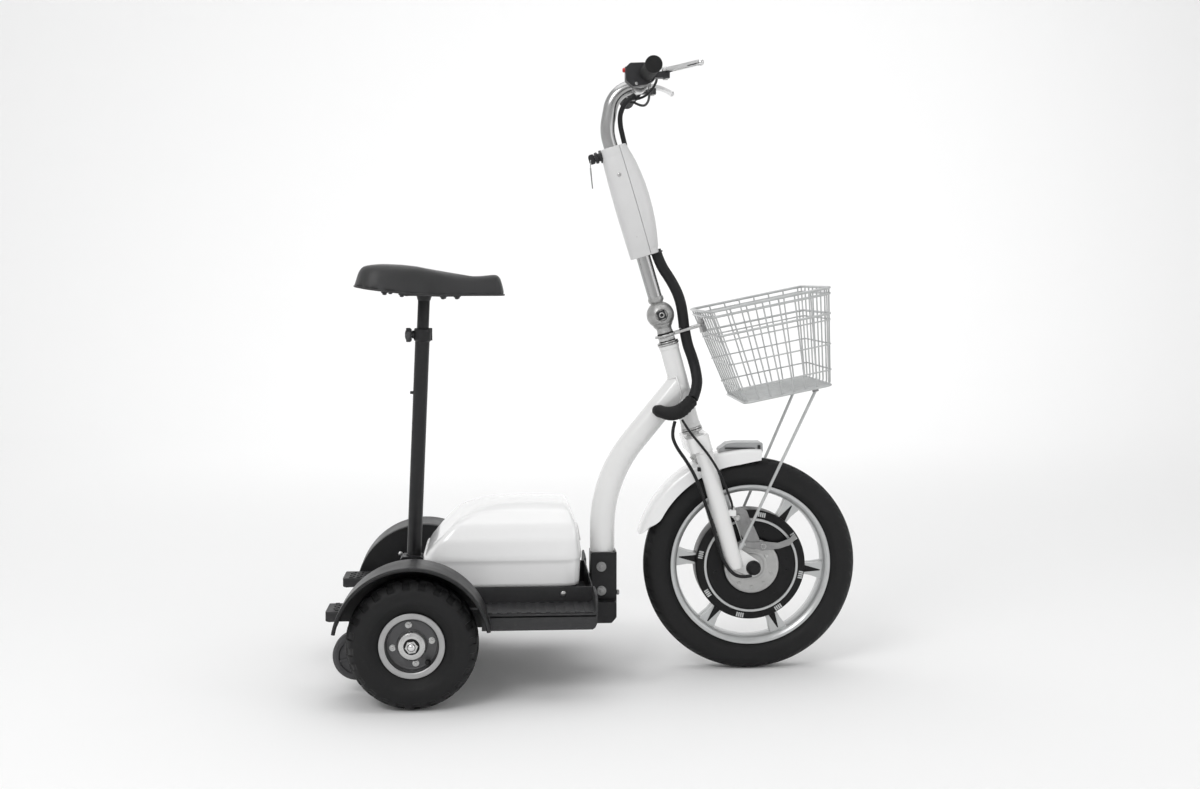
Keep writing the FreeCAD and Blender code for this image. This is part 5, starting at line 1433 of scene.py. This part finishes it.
    # grips
    def grip(sign):
        prof = [(11.2, 180), (14.4, 180), (15.6, 181), (15.6, 184), (14.2, 185)]
        for i in range(30):
            y = 187 + i * 3.2
            prof += [(14.9, y), (14.9, y + 1.9), (14.3, y + 2.3), (14.3, y + 2.9)]
        prof += [(15.3, 284.2), (15.9, 286), (15.9, 289.4), (15.0, 290.8)]
        prof += [(11.2, 290.8)]
        return [(r, t * sign) for r, t in prof]
    for name, s, body in (("left", 1, "stem"), ("right", -1, "throttle")):
        b = Build()
        b.lathe((443, 0, 1180), Y_AXIS, grip(s), 72, 0)
        b.solid_lathe((443, 0, 1180), (0, s, 0), [(0, 290.9), (12.4, 290.9), (13.2, 290.2), (13.2, 288.2), (0, 288.2)], 64, 0)
        finish_piece(b.mesh("grip_rubber_" + name), "rubber", body, smooth=40, replaces=["grip_" + name])

    # switch pod
    b = Build()
    pod = arc_round([(402, 1166), (402, 1190), (410, 1198), (436, 1199), (455, 1194), (460, 1182), (456, 1166), (442, 1158), (416, 1154)], 5, 5)
    b.prism(pod, -178, -163.6, lambda p, q, c: Vector((p, c, q)), 0)
    b.prism(pod, -163.0, -148, lambda p, q, c: Vector((p, c, q)), 0)
    b.prism([(443 + (p - 443) * 0.97, 1180 + (q - 1180) * 0.97) for p, q in pod], -164.5, -162, lambda p, q, c: Vector((p, c, q)), 0)
    b.lathe((403.0, -163, 1186), (-1, 0, 0), arc_round([(4.8, -1), (7.0, -1), (6.6, 1.6), (4.8, 1.8)], 0.4, 2), 36, 0)
    b.box(412, 434, -171, -155, 1198.2, 1199.2, 1)
    for x, z in ((422, 1160), (448, 1168)):
        b.solid_lathe((x, -178, z), (0, -1, 0), [(0, 0.4), (2.4, 0.4), (2.9, 0), (2.9, -1), (0, -1)], 18, 1)
    finish_piece(b.mesh("switch_pod"), ["plastic", "steel"], "stem", bevel=1.3, segs=3, replaces=["control_pod"])
    b = Build()
    b.solid_lathe((409, -163, 1186), (-1, 0, 0), [(0, 12.6), (2.6, 12.4), (4.0, 11.4), (4.4, 10), (4.4, 0), (0, 0)], 36, 0)
    finish_piece(b.mesh("push_button"), "red", "start_button", smooth=35, replaces=["power_button"])

    # perches and levers
    b = Build()
    for s in (-1, 1):
        y0, y1 = sorted((118.0 * s, 142.0 * s))
        b.lathe((443, 0, 1180), Y_AXIS, arc_round([(11.1, y0), (15.2, y0), (16.2, y0 + 2), (16.2, y1 - 2), (15.2, y1), (11.1, y1)], 1, 2), 56, 0)
        c, d = sorted((114.0 * s, 136.0 * s))
        b.prism(arc_round([(456, c), (478, c), (490, c + 6 if s > 0 else c + 2), (490, d - 2 if s > 0 else d - 6), (478, d), (456, d)], 2.5, 3), 1176.5, 1188.2,
                lambda p, q, h: Vector((p, q, h)), 0)
        b.solid_lathe((482, 126 * s, 1176.4), (0, 0, -1), [(0, 3.4), (4.4, 3.2), (5.2, 2.2), (5.2, 0), (0, 0)], 24, 1)
        b.sweep([(466, 113.5 * s, 1183), (466, 106 * s, 1183)], [4.2, 3.4], 20, 1)
        b.sweep([(466, 106.5 * s, 1183), (466.6, 101 * s, 1182.7)], 2.9, 16, 1)
        b.solid_lathe((432, 130 * s, 1165.4), (0, 0, -1), [(0, 3.8), (2.6, 3.8), (4.0, 2.4), (4.0, 0), (0, 0)], 20, 1)
    finish_piece(b.mesh("lever_perches"), ["plastic", "steel"], "stem", bevel=0.9, segs=3, replaces=["brake_perches"])
    for name, s in (("right", -1), ("left", 1)):
        b = Build()
        pts = [(474, 118), (486, 116), (494, 128), (512, 160), (530, 205), (538, 232), (530, 234), (521, 208), (502, 170), (484, 138), (474, 134)]
        blade = arc_round([(x, y * s) for x, y in pts], [3, 4, 8, 40, 60, 3, 3, 60, 40, 8, 4], 5)
        b.prism(blade, 1188.6, 1195.4, lambda p, q, c: Vector((p, q, c)), 0)
        mid = [(484, 127 * s, 1192.0), (499, 148 * s, 1192.6), (512, 178 * s, 1192.8), (524, 207 * s, 1192.4), (532, 230 * s, 1192.0)]
        b.sweep(nurbs(mid, 8), 4.3, 20, 0, oval=1.35)
        b.solid_lathe((535, 236 * s, 1191.5), (0, 0, 1), [(6.2 * math.cos(math.radians(a)), 6.2 * math.sin(math.radians(a))) for a in range(-90, 91, 10)], 32, 0)
        b.solid_lathe((482, 126 * s, 1195.2), (0, 0, 1), [(0, 3.0), (4.0, 2.9), (5.4, 1.8), (5.4, -6), (0, -6)], 28, 1)
        # short dark inner lever below
        b.prism(arc_round([(478, 122 * s), (486, 124 * s), (496, 146 * s), (500, 163 * s), (495, 165 * s), (486, 148 * s), (476, 134 * s)], [2, 3, 10, 2, 2, 10, 3], 4),
                1188.5 - 0.0, 1189.4, lambda p, q, c: Vector((p, q, c)), 1)
        finish_piece(b.mesh("lever_blade_" + name), ["chrome", "steel"], "lever_" + name, bevel=2.0, segs=4,
                     replaces=["brake_lever_" + name])


stem_group()


# --------------------------------------------------------------- held cables and sleeves
def cables():
    b = Build()
    b.sweep(nurbs([(433, -21, 1156), (416, -21, 1146), (404, -14, 1122), (405.5, -3, 1099), (411, 0, 1077), (415.4, 0, 1059)]), 5.0, 24, 0)
    b.sweep(nurbs([(466, -113.8, 1183), (468, -100, 1182), (470, -78, 1176), (462, -50, 1160), (446, -28, 1150), (434, -21, 1149)]), 2.5, 16, 0)
    b.sweep(nurbs([(466, 113.8, 1183), (468, 100, 1182), (472, 76, 1172), (466, 44, 1150), (451, 8, 1137), (433, -14, 1143)]), 2.5, 16, 0)
    b.sweep([(434, -21, 1157), (430, -21, 1154), (426, -21, 1151.8)], [5.4, 6.2, 5.4], 24, 0)
    finish_piece(b.mesh("bar_cables"), "sleeve", "stem", smooth=60, replaces=["control_cables"])

    def ribbed(pts, r, every=3, amp=0.35):
        return [r + (amp if i % every == 0 else 0.0) for i in range(len(pts))]

    lp = PIVOT + STEM_DIR * 128 + STEM_ACROSS * 27.5
    lq = PIVOT + STEM_DIR * 100 + STEM_ACROSS * 27.5
    up = nurbs([tuple(lp), tuple(lq), (510, 0, 790), (525, 0, 760), (532.5, 0, 728), (535.5, 0, 697)], 22)
    b = Build()
    b.sweep(up, 10.9, 36, 0, ref=(0, 1, 0))
    ob = b.mesh("sleeve_upper")
    finish_piece(ob, "sleeve", None, smooth=60, replaces=["loom_upper"])
    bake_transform(ob)
    low = nurbs([(536, 0, 696.5), (541, 0, 666), (552, -1, 638), (559.5, -7, 608), (560.5, -25, 580), (549, -38.5, 556)], 22)
    rad = [10.9] * len(low)
    k = int(len(low) * 0.46)
    rad[k], rad[k + 1] = 11.3, 10.5
    b = Build()
    b.sweep(low, rad, 36, 0, ref=(0, 1, 0))
    b.sweep(low[k - 1:k + 2], 11.2, 36, 0, ref=(0, 1, 0))
    ob = b.mesh("sleeve_lower")
    finish_piece(ob, "sleeve", None, smooth=60, replaces=["loom_lower"])
    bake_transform(ob)

    bt = nurbs([(546, -42, 553), (529, -49, 534), (505, -49, 526), (486, -41, 530), (476, -24.5, 533)], 16)
    n = len(bt)
    rr = []
    for i in range(n):
        t = i / (n - 1)
        r = 12.6 + 1.8 * math.sin(math.pi * min(1.0, t * 1.3)) + (0.9 if i % 4 == 0 and t < 0.3 else 0.0)
        if t > 0.9:
            r *= 1.0 - 0.25 * (t - 0.9) / 0.1
        rr.append(r)
    b = Build()
    b.sweep(bt, rr, 40, 0)
    b.sweep([bt[0] + (bt[0] - bt[1]).normalized() * 3.0, bt[0], bt[1], bt[2]], [11.0, 13.4, 13.8, 13.0], 40, 0)
    finish_piece(b.mesh("rubber_elbow"), "rubber", "chassis", smooth=60, replaces=["cable_boot"])

    motor = nurbs([(512, -50, 512), (504, -55, 488), (513, -62, 462), (532, -68, 436), (552, -68, 402), (571, -67, 350), (588, -67, 300), (598, -69, 262),
                   (611, -72, 226), (630, -76, 204), (652, -77, 201), (664, -76, 204)], 14)
    b = Build()
    b.sweep(motor, 3.4, 18, 0)
    ob = b.mesh("hub_motor_lead")
    finish_piece(ob, "sleeve", None, smooth=60, replaces=["motor_cable"])
    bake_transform(ob)

    brake = nurbs([(526, -54, 515), (537, -66, 495), (556, -79, 472), (580, -82, 442), (600, -79, 408), (616, -69, 372), (627, -59.5, 345), (629, -58, 326)], 14)
    b = Build()
    b.sweep(brake, 2.5, 16, 0)
    b.sweep(nurbs([(629, -58, 340), (629, -58, 326), (633, -57, 312), (642, -55, 290), (648, -53.7, 268)], 12), 1.0, 10, 1)
    b.sweep([(629, -58, 318), (629, -58, 322), (629, -58, 337), (629, -58, 341)], [2.6, 3.8, 3.8, 3.0], 18, 1)
    ob = b.mesh("brake_bowden")
    finish_piece(ob, ["sleeve", "steel"], None, smooth=60, replaces=["brake_cable"])
    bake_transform(ob)


cables()


# --------------------------------------------------------------- basket of welded wire
def basket():
    tilt = math.radians(11.6)
    bu = Vector((math.cos(tilt), 0, math.sin(tilt)))
    bw = Vector((-math.sin(tilt), 0, math.cos(tilt)))
    base = Vector((640, 0, 550))

    def at(u, y, w):
        p = base + bu * u + bw * w
        return Vector((p.x, y, p.z))

    def ends(w):
        f = w / 194.4
        return -36.7 * f, 178.7 + 27.6 * f, 120 + 25 * f

    def ring(w, r=14.0, grow=0.0):
        u0, u1, h = ends(w)
        u0, u1, h = u0 - grow, u1 + grow, h + grow
        pts = []
        for cx, cy, a0 in ((u1 - r, h - r, 0), (u0 + r, h - r, 90), (u0 + r, -h + r, 180), (u1 - r, -h + r, 270)):
            for k in range(9):
                a = math.radians(a0 + 90 * k / 8)
                pts.append(at(cx + r * math.cos(a), cy + r * math.sin(a), w))
        return pts

    b = Build()
    up = bw
    for w, rad in ((191.6, 2.7), (180.5, 2.5), (142.0, 2.3), (130.5, 1.5), (83.0, 1.5), (33.0, 1.5)):
        b.sweep(ring(w, 14.0, -0.9), rad, 12, 0, closed=True, ref=up)
    b.sweep(ring(2.6, 14.0, -2.0), 2.3, 12, 0, closed=True, ref=up)

    def wire(pts, r=1.55):
        flat = [(i, p) for i, p in enumerate(pts)]
        out = []
        for i, p in flat:
            if 0 < i < len(pts) - 1:
                a, c = pts[i - 1], pts[i + 1]
                d1, d2 = (a - p).normalized(), (c - p).normalized()
                rr = 7.0
                for k in range(6):
                    t = k / 5
                    out.append((p + d1 * rr) * (1 - t) ** 2 + p * 2 * t * (1 - t) + (p + d2 * rr) * t ** 2)
            else:
                out.append(p)
        b.sweep(out, r, 9, 0, ref=(0.3, 0.5, 0.81))

    for k in range(8):
        f = (k + 0.45) / 8.0
        u0t, u1t, ht = ends(193.0)
        u0b, u1b, hb = ends(0)
        ut, ub = u0t + 9 + (u1t - u0t - 18) * k / 7.0, u0b + 8 + (u1b - u0b - 16) * k / 7.0
        wire([at(ut, -ht + 2.6, 193), at(ub, -hb + 3.5, 2.0), at(ub, hb - 3.5, 2.0), at(ut, ht - 2.6, 193)])
    for k in range(8):
        u0t, u1t, ht = ends(193.0)
        u0b, u1b, hb = ends(0)
        yt, yb = -ht + 12 + (2 * ht - 24) * k / 7.0, -hb + 10 + (2 * hb - 20) * k / 7.0
        wire([at(u0t + 2.6, yt, 193), at(u0b + 3.5, yb, 4.6), at(u1b - 3.5, yb, 4.6), at(u1t - 2.6, yt, 193)])
    # denser floor
    u0b, u1b, hb = ends(0)
    for k in range(15):
        y = -hb + 6 + (2 * hb - 12) * k / 14.0
        b.sweep([at(u0b + 3, y, 4.8), at(u1b - 3, y, 4.8)], 1.4, 8, 0)
    # seat plate under the basket floor, where the stays bolt on
    b.prism(arc_round([(95, -96), (150, -96), (150, 96), (95, 96)], 6, 4), -1.0, 0.8, lambda p, q, c: at(p, q, c + 1.2), 0)
    finish_piece(b.mesh("wire_basket"), "wire", "fork_assembly", smooth=60, replaces=["basket"])

    b = Build()
    b.lathe(sp(0), AX, arc_round([(12.8, 191.2), (22.0, 191.2), (23.0, 192.4), (23.0, 195.0), (22.0, 196.1), (12.8, 196.1)], 0.8, 2), 64, 0)
    for s in (-1, 1):
        p, q = sp(193.6, 17.0, 14.0 * s), Vector((573.0, 14.0 * s, 703.8))
        b.sweep([p, p.lerp(q, 0.5), q], 3.2, 18, 0)
        e = Vector((573.5, 14.0 * s, 703.8))
        b.solid_lathe(e, (-1, 0, 0.2), [(0, 7.0), (3, 7.0), (5.2, 6.0), (5.2, 2.0), (8.0, 1.8), (8.0, 0.2), (0, 0.2)], 24, 1)
    b.prism(arc_round([(-24, 688), (24, 688), (24, 716), (-24, 716)], 4, 4), 0, 3.4,
            lambda p, q, c: Vector((568.0 + c - (q - 702) * 0.42 * 0.5, p, q)), 1)
    b.prism(arc_round([(-18, 690), (18, 690), (18, 702), (-18, 702)], 4, 4), 3.2, 9.0,
            lambda p, q, c: Vector((568.0 + c - (q - 702) * 0.21, p, q)), 1)
    for s in (-1, 1):
        a, c = Vector((786, 92 * s, 575.5)), Vector((645, 64.2 * s, 262))
        d = (c - a).normalized()
        b.sweep([a, a.lerp(c, 0.3), a.lerp(c, 0.7), c], 3.0, 18, 2)
        b.solid_lathe(a - Vector((0, 0, 2)), (-0.2, 0, 1), [(0, 6.0), (4.5, 5.6), (6.4, 4.2), (6.4, 0), (0, 0)], 24, 1)
        b.sweep([c - d * 6, c + d * 2, c + d * 7], [4.4, 5.0, 3.4], 18, 2)
        b.lathe(c, (0, s, 0), arc_round([(3.2, -5.0), (6.4, -5.0), (6.4, 1.6), (3.2, 1.6)], 0.5, 2), 28, 1)
    finish_piece(b.mesh("basket_bracket"), ["steel", "forged", "wire"], "fork_assembly", bevel=0.5, segs=2,
                 replaces=["basket_supports"])


basket()

# carried-over CAD nodes that stay in view get a finish of their own
for name, key in {"rear_axle": "steel", "battery_pack": "battery", "motor_controller": "alloy_dark",
                  "hub_axle_stator": "alloy_dark"}.items():
    ob = nodes[name]
    for slot in ob.material_slots:
        slot.material = M[key]
    if not ob.material_slots:
        ob.data.materials.append(M[key])

# --------------------------------------------------------------- studio
def studio():
    prof = [(0.0, 0.0), (1.5, 0.0), (3.0, 0.0), (4.5, 0.0)]
    for i in range(1, 13):
        a = math.radians(90 * i / 12)
        prof.append((4.5 + 3.0 * math.sin(a), 3.0 * (1 - math.cos(a))))
    prof.append((7.5, 5.5))
    verts, faces = [(0, 0, 0)], []
    seg = 72
    for i in range(seg):
        a = 2 * math.pi * i / seg
        for r, z in prof[1:]:
            verts.append((r * math.cos(a), r * math.sin(a), z))
    n = len(prof) - 1
    for i in range(seg):
        i2 = (i + 1) % seg
        faces.append([0, 1 + i * n, 1 + i2 * n])
        for j in range(n - 1):
            faces.append([1 + i * n + j, 1 + i * n + j + 1, 1 + i2 * n + j + 1, 1 + i2 * n + j])
    me = bpy.data.meshes.new("studio_floor")
    me.from_pydata(verts, [], faces)
    for p in me.polygons:
        p.use_smooth = True
    ob = bpy.data.objects.new("studio_floor", me)
    scene.collection.objects.link(ob)
    m, t, bsdf = principled("studio_white")
    nz = t.nodes.new("ShaderNodeTexNoise")
    nz.inputs["Scale"].default_value = 0.6
    rp = t.nodes.new("ShaderNodeValToRGB")
    rp.color_ramp.elements[0].color = (0.90, 0.90, 0.90, 1)
    rp.color_ramp.elements[1].color = (0.92, 0.92, 0.92, 1)
    t.links.new(nz.outputs["Fac"], rp.inputs["Fac"])
    t.links.new(rp.outputs["Color"], bsdf.inputs["Base Color"])
    bsdf.inputs["Roughness"].default_value = 0.9
    bsdf.inputs["Specular IOR Level"].default_value = 0.1
    me.materials.append(m)

    def area(name, loc, target, size, power):
        d = bpy.data.lights.new(name, "AREA")
        d.shape = "RECTANGLE"
        d.size, d.size_y = size
        d.energy = power
        o = bpy.data.objects.new(name, d)
        scene.collection.objects.link(o)
        o.location = loc
        o.rotation_euler = (Vector(target) - Vector(loc)).to_track_quat("-Z", "Y").to_euler()

    area("key", (-2.2, -3.4, 3.6), (0, 0, 0.5), (2.0, 1.4), 67)
    area("fill", (3.6, -2.4, 2.0), (0.1, 0, 0.5), (1.6, 2.4), 14)
    area("top", (0, 0.6, 4.6), (0, 0, 0), (4.5, 4.5), 71)
    area("back", (0.5, 4.0, 3.2), (0, 6.5, 0.8), (4.0, 2.0), 56)
    w = bpy.data.worlds.new("studio")
    scene.world = w
    w.use_nodes = True
    bg = w.node_tree.nodes["Background"]
    bg.inputs["Color"].default_value = (1.0, 1.0, 1.0, 1)
    bg.inputs["Strength"].default_value = 0.60
    scene.view_settings.view_transform = "Standard"


studio()
